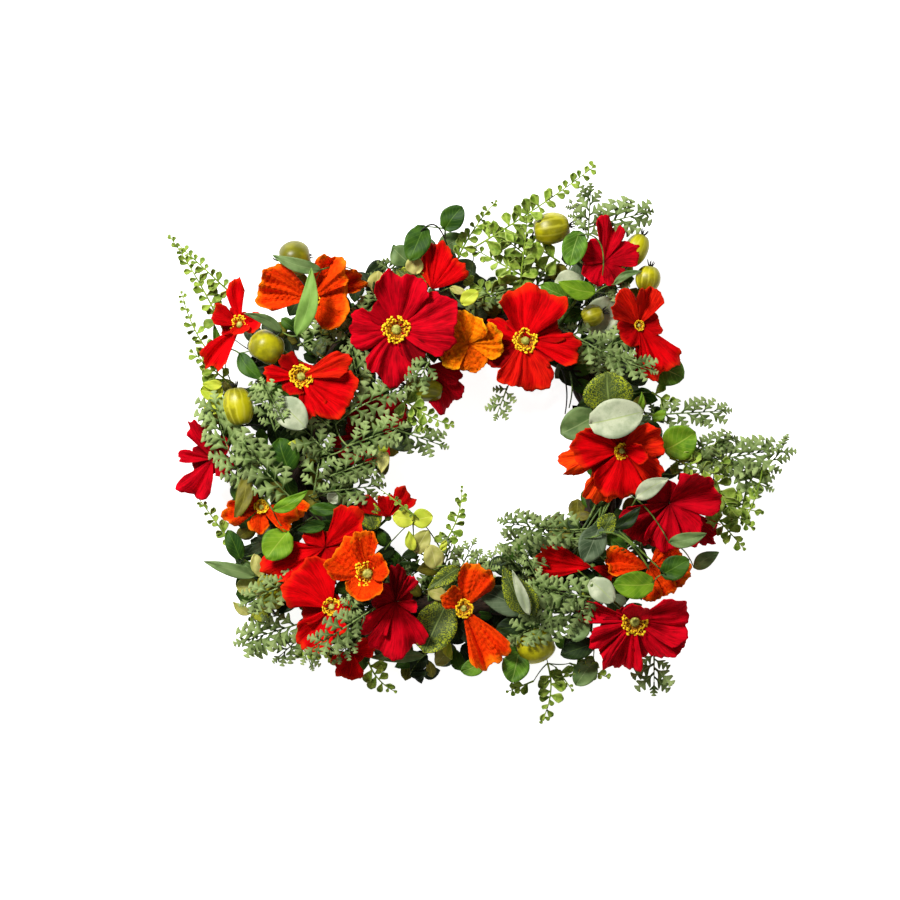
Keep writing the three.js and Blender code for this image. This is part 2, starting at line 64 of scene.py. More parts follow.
# All in mm
STALK_START = 34  # height at which a flower's or fruit's wire leaves the ring
PICK_START = 32  # the same for a leaf's or frond's stalk
OPENING = 106  # radius that the undergrowth leaves open
RIM_START = 190  # radius from which the undergrowth thins out
THICKET = (-90, 38, 46, 0.8)  # a thick tuft that reaches into the opening: x, y, how far round, how much

VINES, INNER_VINES, TWIGS, GREEN_STEMS = 11, 3, 70, 12

# ---------------------------------------------------------------- the arrangement
# Millimetres from the ring's centre and above the surface; directions are degrees from +X.

# Poppies: silk, heart, lean [direction, degrees], size of the ring of stamens,
# petals [direction, length, half its angle, pitch, tone]. Tone: 0 plain, under 0 painted shade, over 0 orange.
POPPIES = {
    "crimson_poppy_1": ("crimson", (-60, 129, 80), (0, 0), 0.9, [
        (180, 48, 31, 8, 0), (256, 53, 33, 2, 0), (318, 40, 25, 4, -0.7), (81, 58, 36, 16, 0), (4, 62, 39, 10, 0)]),
    "crimson_poppy_2": ("crimson", (-29, 94, 50), (300, 15), 0, [
        (303, 47, 30, 4, -0.2), (348, 34, 30, 10, -0.4)]),
    "crimson_poppy_3": ("crimson", (146, 196, 62), (60, 20), 0, [
        (225, 28, 42, 10, 0), (300, 27, 38, 8, -0.2), (150, 27, 42, 16, 0), (18, 35, 32, 12, 0), (80, 43, 27, 14, 0)]),
    "crimson_poppy_4": ("crimson", (211, -42, 68), (270, 24), 0, [
        (318, 66, 15, -10, -0.2), (222, 54, 36, 4, -0.3), (190, 46, 16, 12, -0.2), (36, 54, 40, 16, -0.1),
        (300, 44, 44, 18, 0), (258, 46, 34, 26, 0)]),
    "crimson_poppy_5": ("crimson", (176, -159, 72), (270, 16), 0.9, [
        (168, 56, 15, -4, 0.3), (8, 54, 36, 12, 0), (326, 52, 30, 6, 0), (212, 50, 24, 8, 0), (252, 54, 26, 4, 0),
        (84, 31, 46, 38, 0)]),
    "crimson_poppy_6": ("crimson", (-61, -140, 66), (270, 15), 0, [
        (88, 48, 13, 22, -0.6), (224, 42, 26, 20, 0), (276, 54, 42, 12, 0), (62, 52, 10, 40, 0), (2, 28, 20, 40, 0)]),
    "crimson_poppy_7": ("crimson", (-243, 1, 46), (180, 16), 0, [
        (325, 23, 38, 8, -0.4), (60, 25, 44, 10, -0.2), (116, 43, 17, 18, -0.1), (174, 34, 15, 14, 0),
        (244, 43, 29, 8, 0)]),
    "crimson_poppy_8": ("crimson", (-90, 30, 28), (0, 0), 0, [
        (32, 44, 28, 8, -0.3), (85, 40, 26, 6, -0.3), (290, 36, 30, 6, -0.3), (225, 40, 30, 8, -0.4)]),
    "scarlet_poppy_1": ("scarlet", (67, 118, 78), (20, 6), 0.8, [
        (206, 44, 24, -5, -0.7), (156, 38, 20, -6, 0), (271, 52, 40, 4, 0.1), (349, 56, 21, 10, 0),
        (83, 57, 44, 14, 0)]),
    "scarlet_poppy_2": ("scarlet", (-155, 82, 70), (60, 12), 0.8, [
        (130, 28, 26, 16, -0.6), (292, 42, 24, 2, 0), (176, 38, 17, 10, 0), (328, 56, 38, 8, 0),
        (14, 51, 20, 24, 0.2)]),
    "scarlet_poppy_3": ("scarlet", (-216, 134, 58), (120, 16), 0.6, [
        (235, 54, 20, 4, 0), (98, 44, 16, 18, 0), (160, 29, 30, 22, -0.2), (352, 26, 36, 26, 0),
        (282, 20, 52, 40, 0.1)]),
    "scarlet_poppy_4": ("scarlet", (-25, 170, 58), (80, 15), 0, [
        (110, 34, 14, 10, 0.2), (38, 40, 24, 18, 0), (78, 46, 24, 14, 0)]),
    "scarlet_poppy_5": ("scarlet", (180, 134, 66), (350, 15), 0.35, [
        (280, 50, 15, 2, -0.5), (302, 57, 28, 8, 0), (75, 40, 28, 20, 0.15), (134, 41, 31, 16, 0.15)]),
    "scarlet_poppy_6": ("scarlet", (163, 10, 78), (270, 14), 0.55, [
        (196, 62, 15, -6, 0.9), (246, 56, 26, 2, 0.9), (326, 46, 24, 6, 0.2), (168, 50, 30, 14, 0),
        (30, 44, 34, 18, 0.3), (262, 47, 42, 8, 0), (10, 30, 36, 40, -0.05)]),
    "scarlet_poppy_7": ("scarlet", (-124, -146, 72), (120, 10), 0.6, [
        (284, 30, 26, 6, 0), (243, 48, 32, 4, 0), (350, 22, 34, 24, 0), (132, 52, 46, 14, 0)]),
    "scarlet_poppy_8": ("scarlet", (-131, -87, 56), (180, 10), 0, [
        (240, 36, 34, 2, -0.3), (130, 24, 36, 14, 0), (44, 51, 27, 12, 0), (198, 62, 25, 8, 0)]),
    "scarlet_poppy_9": ("scarlet", (-69, -57, 48), (90, 10), 0, [
        (150, 34, 20, 8, -0.5), (92, 23, 34, 22, -0.2), (48, 34, 26, 12, -0.3)]),
    "scarlet_poppy_10": ("scarlet", (-105, -192, 46), (270, 15), 0, [
        (28, 24, 34, 14, 0), (205, 22, 30, 16, 0), (262, 28, 40, 16, -0.1)]),
    "scarlet_poppy_11": ("scarlet", (135, -107, 50), (180, 8), 0, [
        (345, 24, 22, 6, -0.3), (170, 56, 24, 4, 0)]),
    "orange_poppy_1": ("orange", (-145, 160, 70), (0, 6), 0.55, [
        (26, 55, 16, 4, 0), (160, 54, 34, 10, 0), (350, 40, 62, 10, 0), (54, 49, 30, 18, 0)]),
    "orange_poppy_2": ("amber", (12, 115, 76), (200, 13), 0, [
        (285, 28, 54, 0, -0.6), (200, 32, 46, 12, 0), (8, 38, 36, 12, 0), (82, 34, 52, 20, 0), (140, 33, 34, 24, 0)]),
    "orange_poppy_3": ("orange", (191, -107, 62), (90, 10), 0, [
        (312, 34, 22, 6, 0), (170, 45, 25, 12, 0), (272, 34, 26, 4, 0), (350, 42, 26, 8, 0), (40, 38, 26, 10, 0)]),
    "orange_poppy_4": ("orange", (6, -147, 74), (0, 8), 0.6, [
        (140, 28, 36, 24, 0), (68, 47, 32, 18, -0.1), (300, 66, 23, 10, 0)]),
    "orange_poppy_5": ("orange", (-88, -113, 80), (130, 10), 0.9, [
        (95, 45, 25, 28, -0.1), (150, 44, 44, 24, 0), (265, 32, 58, 32, 0), (20, 33, 50, 44, 0)]),
    "orange_poppy_6": ("orange", (-195, -48, 56), (90, 16), 0.5, [
        (140, 24, 30, 24, 0), (262, 26, 30, 4, 0), (356, 48, 14, 10, 0), (334, 38, 28, 12, 0),
        (196, 40, 24, 16, -0.2)]),
}

# Fruit: x, y, height, radius across, radius along, direction of its long axis, how much painted shade darkens it.
APPLES = {
    "green_apple_1": [(-189, 112, 72, 18, 17, 60, 0.1)],
    "green_apple_2": [(-162, 201, 52, 18, 17, 10, 0.6)],
    "green_apple_3": [(78, -186, 58, 17, 21, 20, 0)],
}
GOOSEBERRIES = {
    "gooseberry_1": [(94, 231, 55, 16, 20, 10, 0.15)],
    "gooseberry_2": [(-218, 53, 62, 15.5, 21, 100, 0)],
    "gooseberry_3": [(-33, 71, 48, 12, 21, 170, 0.6)],
    "gooseberry_4": [(-187, -132, 48, 15, 20, 275, 0.4)],
    "gooseberry_5": [(135, 144, 58, 11, 12, 20, 0.35)],
    "gooseberry_pair": [(179, 210, 50, 12, 18, 65, 0), (191, 181, 52, 12.5, 14, 80, 0)],
}

# Picks of greenery, in rows of
# base x, base y, tip x, tip y, width, height, rise of the tip, and a leaf's kind or a frond's sideways bow.
LEAVES = {
    "round_leaves_top": [
        (-12, 230, 5, 252, 24, 66, 4, "deep"), (-33, 232, -47, 198, 26, 64, 6, "deep"),
        (-49, 198, -64, 212, 24, 52, 1, "sage"), (-80, 166, -79, 189, 20, 48, 2, "beige"),
        (-41, 186, -43, 204, 18, 58, 3, "beige"), (-32, 168, -60, 190, 26, 50, 3, "speckled"),
        (-17, 212, 6, 224, 22, 48, 1, "sage"), (-7, 172, 11, 166, 8, 60, 2, "beige"),
        (5, 156, 21, 168, 15, 64, 3, "lime")],
    "round_leaves_top_right": [
        (121, 226, 111, 192, 25, 76, 8, "green"), (137, 166, 100, 176, 20, 76, 10, "bright"),
        (109, 162, 83, 174, 18, 66, 4, "green"), (99, 172, 125, 180, 26, 58, 2, "pale"),
        (155, 160, 133, 126, 34, 46, 3, "pale"), (155, 174, 183, 187, 8, 78, 3, "sage"),
        (183, 166, 196, 173, 10, 50, 1, "deep")],
    "broad_leaves_right": [
        (151, 49, 147, 87, 50, 92, 10, "speckled"), (132, 36, 183, 48, 39, 102, 4, "pale"),
        (137, 44, 103, 26, 34, 64, 3, "sage"), (198, 95, 227, 82, 32, 46, 3, "green"),
        (177, 40, 184, 68, 8, 60, 4, "bright"), (195, 40, 208, 49, 10, 62, 2, "bright")],
    "green_leaves_right": [
        (207, 10, 237, 28, 36, 62, 5, "bright"), (177, -38, 209, -18, 18, 82, 4, "pale"),
        (209, -81, 246, -72, 15, 88, 4, "sage"), (237, -108, 262, -92, 16, 50, 2, "sage"),
        (157, -68, 181, -46, 14, 78, 8, "dark"), (144, -72, 155, -53, 19, 72, 6, "speckled"),
        (141, -67, 126, -101, 28, 74, 6, "slate"), (149, -76, 169, -91, 14, 66, 2, "deep")],
    "round_leaves_bottom_right": [
        (193, -122, 154, -122, 28, 86, 8, "bright"), (203, -113, 229, -98, 24, 84, 5, "deep"),
        (133, -120, 155, -140, 24, 78, 6, "pale"), (133, -120, 126, -140, 14, 74, 3, "speckled"),
        (129, -160, 115, -180, 18, 66, 4, "sage"), (124, -152, 134, -172, 10, 60, 4, "deep"),
        (137, -182, 103, -194, 21, 60, 2, "dark"), (137, -202, 119, -226, 24, 40, 1, "sage")],
    "folded_leaves_bottom": [
        (70, -152, 45, -104, 24, 88, 14, "speckled"), (71, -152, 54, -108, 11, 100, 5, "pale"),
        (76, -155, 61, -116, 15, 84, 12, "speckled"), (65, -152, 17, -130, 28, 66, 5, "slate"),
        (73, -162, 39, -168, 22, 62, 2, "dark"), (63, -190, 46, -176, 14, 50, 1, "deep"),
        (61, -192, 54, -221, 28, 66, 4, "green"), (27, -201, 4, -211, 18, 56, 3, "green")],
    "mixed_leaves_bottom_left": [
        (-11, -144, -33, -192, 42, 58, 3, "speckled"), (-33, -196, -88, -198, 13, 40, 2, "sage"),
        (-33, -194, -45, -210, 19, 34, 1, "dark"), (-47, -216, -29, -213, 8, 36, 2, "dark"),
        (-7, -190, -21, -206, 16, 40, 0, "beige"), (-11, -180, -5, -200, 10, 44, 2, "lime"),
        (-44, -60, -64, -56, 20, 62, 2, "lime"), (-44, -60, -24, -56, 20, 60, 2, "lime"),
        (-43, -90, -48, -70, 11, 64, 3, "lime"), (-41, -92, -29, -70, 19, 58, 3, "beige"),
        (-21, -107, -27, -84, 21, 66, 4, "beige"), (-15, -90, -11, -80, 7, 60, 2, "lime"),
        (2, -106, -29, -128, 17, 84, 9, "speckled"), (-11, -136, -29, -130, 14, 60, 2, "beige")],
    "round_leaves_left": [
        (-169, -72, -189, -98, 32, 68, 7, "bright"), (-217, -98, -229, -70, 18, 52, 4, "deep"),
        (-195, -116, -203, -94, 14, 46, 2, "beige"), (-201, -125, -221, -127, 20, 44, 1, "beige"),
        (-187, -152, -207, -153, 19, 42, 1, "lime"), (-207, -154, -224, -142, 10, 48, 2, "beige"),
        (-201, -116, -253, -101, 14, 50, 7, "sage"), (-205, -112, -217, -102, 12, 42, 2, "sage"),
        (-182, -50, -147, -30, 14, 80, 11, "bright"), (-209, -14, -221, -62, 17, 64, 9, "olive"),
        (-147, -49, -114, -49, 14, 60, 3, "deep"), (-131, -64, -159, -70, 13, 62, 3, "deep"),
        (-127, -42, -120, -33, 14, 46, 2, "pale"), (-83, -68, -91, -40, 24, 44, 3, "speckled"),
        (-97, -60, -111, -48, 14, 44, 3, "beige")],
    "pale_leaves_left": [
        (-178, 58, -149, 32, 31, 82, 3, "pale"), (-167, -10, -177, 22, 32, 62, 5, "deep"),
        (-151, 14, -168, 16, 9, 66, 3, "lime"), (-73, 10, -75, -13, 13, 64, 6, "beige"),
        (-77, 9, -69, 18, 10, 64, 3, "lime"), (-235, 68, -257, 70, 20, 45, 2, "lime"),
        (-235, 76, -255, 76, 11, 48, 2, "lime"), (-233, 60, -254, 52, 13, 40, 2, "lime"),
        (-231, 52, -245, 43, 10, 38, 1, "lime"), (-235, 46, -254, 26, 11, 42, 1, "olive")],
    "long_leaves_top_left": [
        (-158, 122, -143, 189, 19, 96, 8, "mint"), (-134, 188, -182, 202, 14, 88, 6, "sage"),
        (-173, 127, -209, 144, 11, 84, 20, "sage"), (-216, 106, -191, 79, 17, 76, 6, "deep"),
        (-99, 188, -82, 162, 12, 46, 1, "dark"), (-237, 108, -243, 136, 8, 48, 3, "deep")],
}
FRONDS = {
    "dusty_fronds_left": [
        (-170, 36, -190, 74, 22, 88, 3, 0),
        (-205, -32, -240, 55, 37, 60, 4, 5), (-163, -40, -209, 14, 36, 64, 8, 2),
        (-181, 28, -195, 72, 26, 66, 6, 0), (-125, 32, -161, 60, 16, 62, 3, 0)],
    "dusty_fronds_inner_left": [
        (-127, 5, -153, 32, 32, 66, 6, 0), (-109, 14, -60, 32, 30, 74, 7, 0), (-121, 36, -59, 68, 32, 66, 8, 4),
        (-143, -34, -135, 14, 30, 58, 5, 0), (-65, 32, -19, 16, 28, 48, 3, 0), (-95, 58, -105, 110, 28, 58, 4, 0),
        (-127, -16, -79, 2, 28, 60, 5, 0), (-135, -32, -83, -26, 30, 50, 2, 0), (-112, 122, -85, 158, 24, 52, 3, 0),
        (-159, 114, -119, 132, 24, 60, 5, 0)],
    "dusty_fronds_top": [
        (51, 74, 41, 48, 22, 40, 1, 0), (-27, 98, -39, 78, 26, 88, 6, 0), (73, 175, 13, 160, 24, 46, 2, 0)],
    "dusty_fronds_top_right": [
        (131, 222, 133, 265, 28, 52, 3, 0), (129, 232, 184, 246, 32, 50, 4, 0), (127, 230, 115, 256, 14, 46, 2, 0),
        (123, 198, 163, 168, 22, 58, 2, 0)],
    "dusty_fronds_upper_right": [
        (99, 134, 167, 94, 28, 70, 5, 0), (155, 102, 189, 90, 26, 74, 3, 0), (137, 108, 181, 126, 28, 56, 3, 0),
        (123, 110, 155, 84, 24, 52, 3, 0)],
    "dusty_fronds_right": [
        (193, 45, 264, 49, 28, 52, 5, 0), (245, -2, 305, 8, 36, 52, 6, 0), (295, -10, 328, 18, 22, 48, 2, -6),
        (213, -6, 258, 2, 28, 58, 3, 0), (233, 8, 271, 20, 24, 56, 3, 0), (255, -2, 307, -26, 28, 46, 3, 0)],
    "dusty_fronds_bottom": [
        (135, -68, 51, -62, 30, 64, 6, 4), (123, -72, 47, -84, 26, 60, 3, -4), (147, -138, 81, -128, 34, 76, 7, 0),
        (123, -158, 59, -174, 30, 70, 4, -4), (91, -106, 63, -96, 14, 52, 2, 0), (141, -146, 79, -152, 30, 72, 4, 0),
        (91, -136, 69, -100, 18, 62, 3, 0)],
    "dusty_fronds_bottom_left": [
        (-157, -118, -207, -140, 28, 62, 5, 0), (-151, -162, -209, -180, 38, 42, 2, 0),
        (-155, -176, -177, -196, 26, 38, 1, 0), (-91, -152, -141, -184, 28, 98, 6, 0),
        (-159, -172, -147, -204, 20, 40, 2, 0), (-95, -164, -119, -196, 18, 92, 2, 0),
        (-101, -166, -106, -140, 19, 88, 2, 0)],
    "dusty_fronds_bottom_right": [(198, -192, 198, -224, 32, 36, 0, 0)],
    "dusty_fronds_inner_bottom": [
        (-17, -120, -5, -83, 24, 48, 2, 0), (-2, -120, 15, -86, 22, 46, 2, 0), (17, -120, 23, -96, 18, 46, 2, 0),
        (29, -120, 37, -96, 16, 46, 2, 0)],
}
FERNS = {
    "fern_sprigs_top_left": [
        (-233, 128, -287, 224, 20, 48, 13, -3), (-221, 162, -277, 214, 18, 52, 12, 0),
        (-231, 88, -275, 168, 18, 44, 13, 7), (-227, 76, -265, 108, 26, 42, 2, 0)],
    "fern_sprigs_top": [
        (20, 214, 137, 292, 26, 54, 18, -2), (-1, 198, 39, 258, 18, 50, 8, 3), (88, 190, 33, 232, 28, 52, 4, 0),
        (63, 176, 71, 248, 28, 54, 10, 0), (73, 180, 19, 210, 28, 48, 2, 0), (103, 198, 63, 224, 26, 46, 3, 0),
        (43, 160, 5, 184, 26, 46, 2, 0)],
    "fern_sprigs_inner_left": [(-61, 66, -5, 34, 22, 56, 4, -3), (-57, 60, -27, 24, 20, 50, 2, 0)],
    "fern_sprigs_right": [
        (257, -10, 295, -68, 26, 52, 4, -8), (305, -4, 285, -62, 24, 46, 2, -6), (249, -40, 303, -52, 28, 50, 2, 0),
        (243, 16, 269, -10, 26, 56, 3, 0), (259, -56, 287, -88, 24, 42, 0, 0), (195, 68, 219, 52, 22, 48, 1, 0),
        (212, 2, 262, -16, 26, 60, 2, 0)],
    "fern_sprigs_bottom": [
        (91, -204, 85, -262, 24, 40, 0, 6), (77, -222, 52, -232, 20, 38, 0, 0), (113, -204, 151, -218, 20, 38, 0, 0),
        (143, -208, 111, -216, 20, 38, 0, 0), (99, -208, 115, -230, 20, 36, 0, 0)],
    "fern_sprigs_bottom_left": [
        (-167, -188, -121, -206, 20, 38, 0, 8), (-89, -202, -63, -232, 22, 38, 0, -4),
        (-223, -88, -259, -38, 18, 42, 4, 0), (-207, -156, -209, -182, 10, 38, 0, 8)],
    "fern_sprigs_inner_bottom": [(-17, -88, 5, -27, 18, 48, 6, -6), (-41, -56, -75, -30, 9, 66, 2, 0)],
}

# Bare stalks and tendrils: radius at the foot and at the tip, finish, control points.
CURLS = {
    "arched_stalk_top_right": (0.8, 0.6, "leaf stalk", [(118, 223, 77), (150, 229, 88), (144, 183, 78)]),
    "arched_stalk_top": (0.9, 0.7, "dark wire", [(-36, 227, 66), (-20, 246, 74), (-10, 214, 62)]),
    "yellow_stalk_1": (1.2, 0.9, "leaf stalk", [(141, -72, 80), (166, -66, 88), (190, -108, 84)]),
    "yellow_stalk_2": (1.1, 0.8, "leaf stalk", [(160, -70, 82), (176, -84, 86), (205, -112, 88)]),
    "yellow_stalk_3": (1.1, 0.8, "leaf stalk", [(112, -78, 74), (142, -78, 84), (146, -70, 80)]),
    "hanging_stalk_1": (0.9, 0.6, "dark wire", [(104, 92, 58), (113, 72, 54), (108, 46, 50)]),
    "hanging_stalk_2": (0.9, 0.6, "leaf stalk", [(112, 88, 58), (118, 74, 52), (112, 52, 50)]),
    "fern_stalk_right": (0.9, 0.6, "fern", [(305, -4, 60), (302, -34, 58), (285, -66, 50)]),
    "tendril_left_1": (0.7, 0.4, "fern", [(-207, -158, 44), (-203, -176, 38), (-217, -182, 36)]),
    "tendril_left_2": (0.7, 0.4, "fern", [(-207, -158, 44), (-199, -166, 40), (-206, -184, 36)]),
}

# ---------------------------------------------------------------- shapes
# Points are numpy rows in millimetres from the ring's centre, until finished() puts them in the frame.


def seeded(name):
    """Random numbers that are the same for a name every time."""
    return np.random.default_rng(sum(ord(letter) * (i + 1) for i, letter in enumerate(name)))


def radians(degrees):
    return np.asarray(degrees) * math.pi / 180


def unit(vector):
    return vector / max(np.linalg.norm(vector), 1e-9)


def vertices_of(piece):
    points = np.empty(len(piece.data.vertices) * 3)
    piece.data.vertices.foreach_get("co", points)
    return points.reshape(-1, 3)


def set_vertices(piece, points):
    piece.data.vertices.foreach_set("co", np.ascontiguousarray(points).ravel())
    piece.data.update()
    return piece


def painted(piece, material, tone=0.0):
    """Gives the piece its material and the tone that the material reads: a number, or one for each vertex."""
    piece.data.materials.append(material)
    layer = piece.data.attributes.new("tone", "FLOAT", "POINT")
    layer.data.foreach_set("value", np.broadcast_to(tone, len(piece.data.vertices)).astype(np.float32))
    return piece


def sheet(along, across, place):
    """A grid of faces put where place(u, v) says: u from 0 to 1 along it, v from -1 to 1 across it."""
    bpy.ops.mesh.primitive_grid_add(x_subdivisions=along, y_subdivisions=across, size=2)
    piece = bpy.context.object
    flat = vertices_of(piece)
    return set_vertices(piece, place((flat[:, 0] + 1) / 2, flat[:, 1]))


def round_body(around, along, place):
    """A closed round body put where place(t, angle) says: t from 0 to 1 between its two ends."""
    bpy.ops.mesh.primitive_uv_sphere_add(segments=around, ring_count=along, radius=1)
    piece = bpy.context.object
    ball = vertices_of(piece)
    share = np.arccos(np.clip(-ball[:, 2], -1, 1)) / math.pi
    return set_vertices(piece, place(share, np.arctan2(ball[:, 1], ball[:, 0])))


def curve_point(points, t):
    """Points on the smooth curve through three or four control points."""
    t = np.clip(t, 0, 1)[:, None]
    rows = [np.broadcast_to(np.asarray(point, float), (len(t), 3)) for point in points]
    while len(rows) > 1:
        rows = [a * (1 - t) + b * t for a, b in zip(rows, rows[1:])]
    return rows[0]


def stem(points, thick, tip_thick, around=6, along=9):
    """A stem along the curve through its control points, from one radius to another."""

    def place(share, angle):
        t = np.clip((share * along - 1) / (along - 2), 0, 1)
        middle = curve_point(points, t)
        heading = curve_point(points, t + 0.02) - curve_point(points, t - 0.02)
        heading /= np.linalg.norm(heading, axis=1)[:, None] + 1e-9
        side = np.cross(heading, (0.12, 0.05, 1.0))
        side /= np.linalg.norm(side, axis=1)[:, None] + 1e-9
        up = np.cross(side, heading)
        radius = np.where((share > 1e-4) & (share < 1 - 1e-4), thick + (tip_thick - thick) * t, 0)[:, None]
        return middle + radius * (np.cos(angle)[:, None] * up + np.sin(angle)[:, None] * side)

    return round_body(around, along, place)


def select_only(*pieces):
    """Selects the pieces and nothing else, with the first of them active."""
    bpy.ops.object.select_all(action="DESELECT")
    for piece in pieces:
        piece.select_set(True)
    bpy.context.view_layer.objects.active = pieces[0]


def repeated(template, places):
    """The template's mesh once for each of the places: functions that move its points."""
    points = vertices_of(template)
    select_only(template)
    copies = [set_vertices(template, places[0](points))]
    for place in places[1:]:
        copy = template.copy()
        copy.data = template.data.copy()
        bpy.context.collection.objects.link(copy)
        copies.append(set_vertices(copy, place(points)))
    return copies


def joined(name, pieces):
    """One object of all the pieces, with their materials kept."""
    select_only(*pieces)
    if len(pieces) > 1:
        bpy.ops.object.join()
    whole = pieces[0]
    whole.name = whole.data.name = name
    return whole


def thickened(piece, thickness):
    """Gives thin sheets their thickness."""
    select_only(piece)
    solidify = piece.modifiers.new("thickness", "SOLIDIFY")
    solidify.thickness = thickness
    solidify.offset = 0
    bpy.ops.object.modifier_apply(modifier=solidify.name)
    return piece


def finished(piece, slot, *nodes):
    """Puts the piece in the frame, smooth, in place of its solids."""
    set_vertices(piece, (vertices_of(piece) + RING_CENTRE) * MM)
    select_only(piece)
    bpy.ops.object.shade_smooth()
    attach(piece, "root")
    if nodes:
        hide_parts(*nodes)
    return piece


def moved(piece, degrees, axis, where):
    """Turns the piece round an axis through its heart and moves it. Gives the turn, for what goes with it."""
    turn = np.array(Matrix.Rotation(math.radians(degrees), 3, axis))
    set_vertices(piece, vertices_of(piece) @ turn.T + where)
    return turn


def polar(radius, angle, height):
    """Points round the upright axis."""
    return np.stack([radius * np.cos(angle), radius * np.sin(angle), height], axis=1)


def ring_point(direction, height):
    """A point over the ring's centre line, in a direction given in degrees."""
    angle = math.radians(direction)
    radius = wreath_sizes().ring_radius / MM
    return np.array([radius * math.cos(angle), radius * math.sin(angle), height])


def foot_on_ring(x, y, height):
    """Where a stalk that goes to x, y leaves the ring."""
    return ring_point(math.degrees(math.atan2(y, x)), height)


def solids_of(name):
    """The frame's solid of this name, if it has one."""
    return [name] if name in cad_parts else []


# ---------------------------------------------------------------- finishes


class Socket:
    """A node's output, with arithmetic that adds the Math nodes."""

    def __init__(self, nodes, output):
        self.nodes, self.output = nodes, output

    def maths(self, operation, *others):
        return self.nodes.add("ShaderNodeMath", {"operation": operation}, self, *others)

    def __add__(self, other):
        return self.maths("ADD", other)

    def __mul__(self, other):
        return self.maths("MULTIPLY", other)

    def __sub__(self, other):
        return self.maths("SUBTRACT", other)

    def __rsub__(self, other):
        return self.nodes.add("ShaderNodeMath", {"operation": "SUBTRACT"}, other, self)

    def absolute(self):
        return self.maths("ABSOLUTE")

    def wave(self):
        return self.maths("SINE")

    def ramp(self, low, high, start=0.0, end=1.0):
        """Goes from start to end while this value goes from low to high."""
        settings = {"interpolation_type": "SMOOTHSTEP"}
        return self.nodes.add("ShaderNodeMapRange", settings, self, low, high, start, end)


class Finish:
    """A material in the making: its nodes, and the few kinds that all of them use."""

    def __init__(self, name, **sockets):
        self.material = bpy.data.materials.new(name)
        self.material.use_nodes = True
        self.tree = self.material.node_tree
        self.shader = self.tree.nodes["Principled BSDF"]
        for socket, value in sockets.items():
            self.shader.inputs[socket.replace("_", " ")].default_value = value

    def add(self, kind, settings, *inputs, output=0, **named):
        """Adds a node: its kind, its settings, and the values or links of its inputs."""
        node = self.tree.nodes.new(kind)
        for setting, value in settings.items():
            setattr(node, setting, value)
        for socket, value in zip(node.inputs, inputs):
            self.connect(socket, value)
        for key, value in named.items():
            self.connect(node.inputs[key.replace("_", " ")], value)
        return Socket(self, node.outputs[output])

    def connect(self, socket, value):
        """Gives a node's input a link or a fixed value."""
        if isinstance(value, Socket):
            self.tree.links.new(value.output, socket)
        else:
            socket.default_value = value

    def across_and_along(self):
        """How far along a petal or leaf a point is, 0 to 1, and how far across it, -1 to 1."""
        spot = self.add("ShaderNodeUVMap", {"uv_map": "UVMap"})
        along, side = (self.add("ShaderNodeSeparateXYZ", {}, spot, output=axis) for axis in "XY")
        return along, side * 2.0 - 1.0

    def tone(self):
        return self.add("ShaderNodeAttribute", {"attribute_name": "tone"}, output="Fac")

    def speckle(self, scale, detail=3.0, roughness=0.55, where=None):
        """Soft random patches, laid out over the whole wreath unless told where."""
        where = where or self.add("ShaderNodeTexCoord", {}, output="Object")
        return self.add("ShaderNodeTexNoise", {}, Vector=where, Scale=scale, Detail=detail, Roughness=roughness)

    def stretched(self, along, across, along_scale, across_scale):
        """Coordinates for a pattern that follows the petal or leaf."""
        return self.add("ShaderNodeCombineXYZ", {}, along * along_scale, across * across_scale, 0.0)

    def blend(self, mask, one, other):
        """A colour between two others: links, three numbers as the eye sees them, or four as the shader does."""
        node = self.tree.nodes.new("ShaderNodeMix")
        node.data_type = "RGBA"
        self.connect(node.inputs[0], mask)
        for socket, colour in ((node.inputs[6], one), (node.inputs[7], other)):
            seen = isinstance(colour, tuple) and len(colour) == 3
            self.connect(socket, linear(colour) if seen else colour)
        return Socket(self, node.outputs[2])

    def finish(self, colour, height=None, depth=0.3, distance=0.0006):
        """Links what changes over the surface to the shader, and gives the material."""
        self.tree.links.new(colour.output, self.shader.inputs["Base Color"])
        if height is not None:
            bump = self.add("ShaderNodeBump", {}, Strength=depth, Distance=distance, Height=height)
            self.tree.links.new(bump.output, self.shader.inputs["Normal"])
        return self.material


def linear(colour):
    """A colour as the eye sees it, in the numbers that the shader adds up."""
    return (*(c / 12.92 if c <= 0.04045 else ((c + 0.055) / 1.055) ** 2.4 for c in colour), 1.0)


_made = {}


def once(maker):
    """Makes each finish only the first time it is asked for."""

    def get(*key):
        if (maker.__name__, *key) not in _made:
            _made[(maker.__name__, *key)] = maker(*key)
        return _made[(maker.__name__, *key)]

    return get


SILKS = {  # painted fold shade colour, full colour, rim colour, how far the rim colour reaches in
    "crimson": ((0.42, 0.0, 0.02), (0.80, 0.0, 0.09), (0.83, 0.0, 0.11), 0.3),
    "scarlet": ((0.56, 0.0, 0.0), (0.86, 0.0, 0.03), (0.95, 0.30, 0.02), 0.25),
    "orange": ((0.92, 0.15, 0.0), (0.98, 0.29, 0.01), (1.0, 0.50, 0.04), 0.8),
    "amber": ((1.0, 0.34, 0.0), (1.0, 0.57, 0.02), (1.0, 0.70, 0.08), 0.7),
}
CREPE = ("orange", "amber")


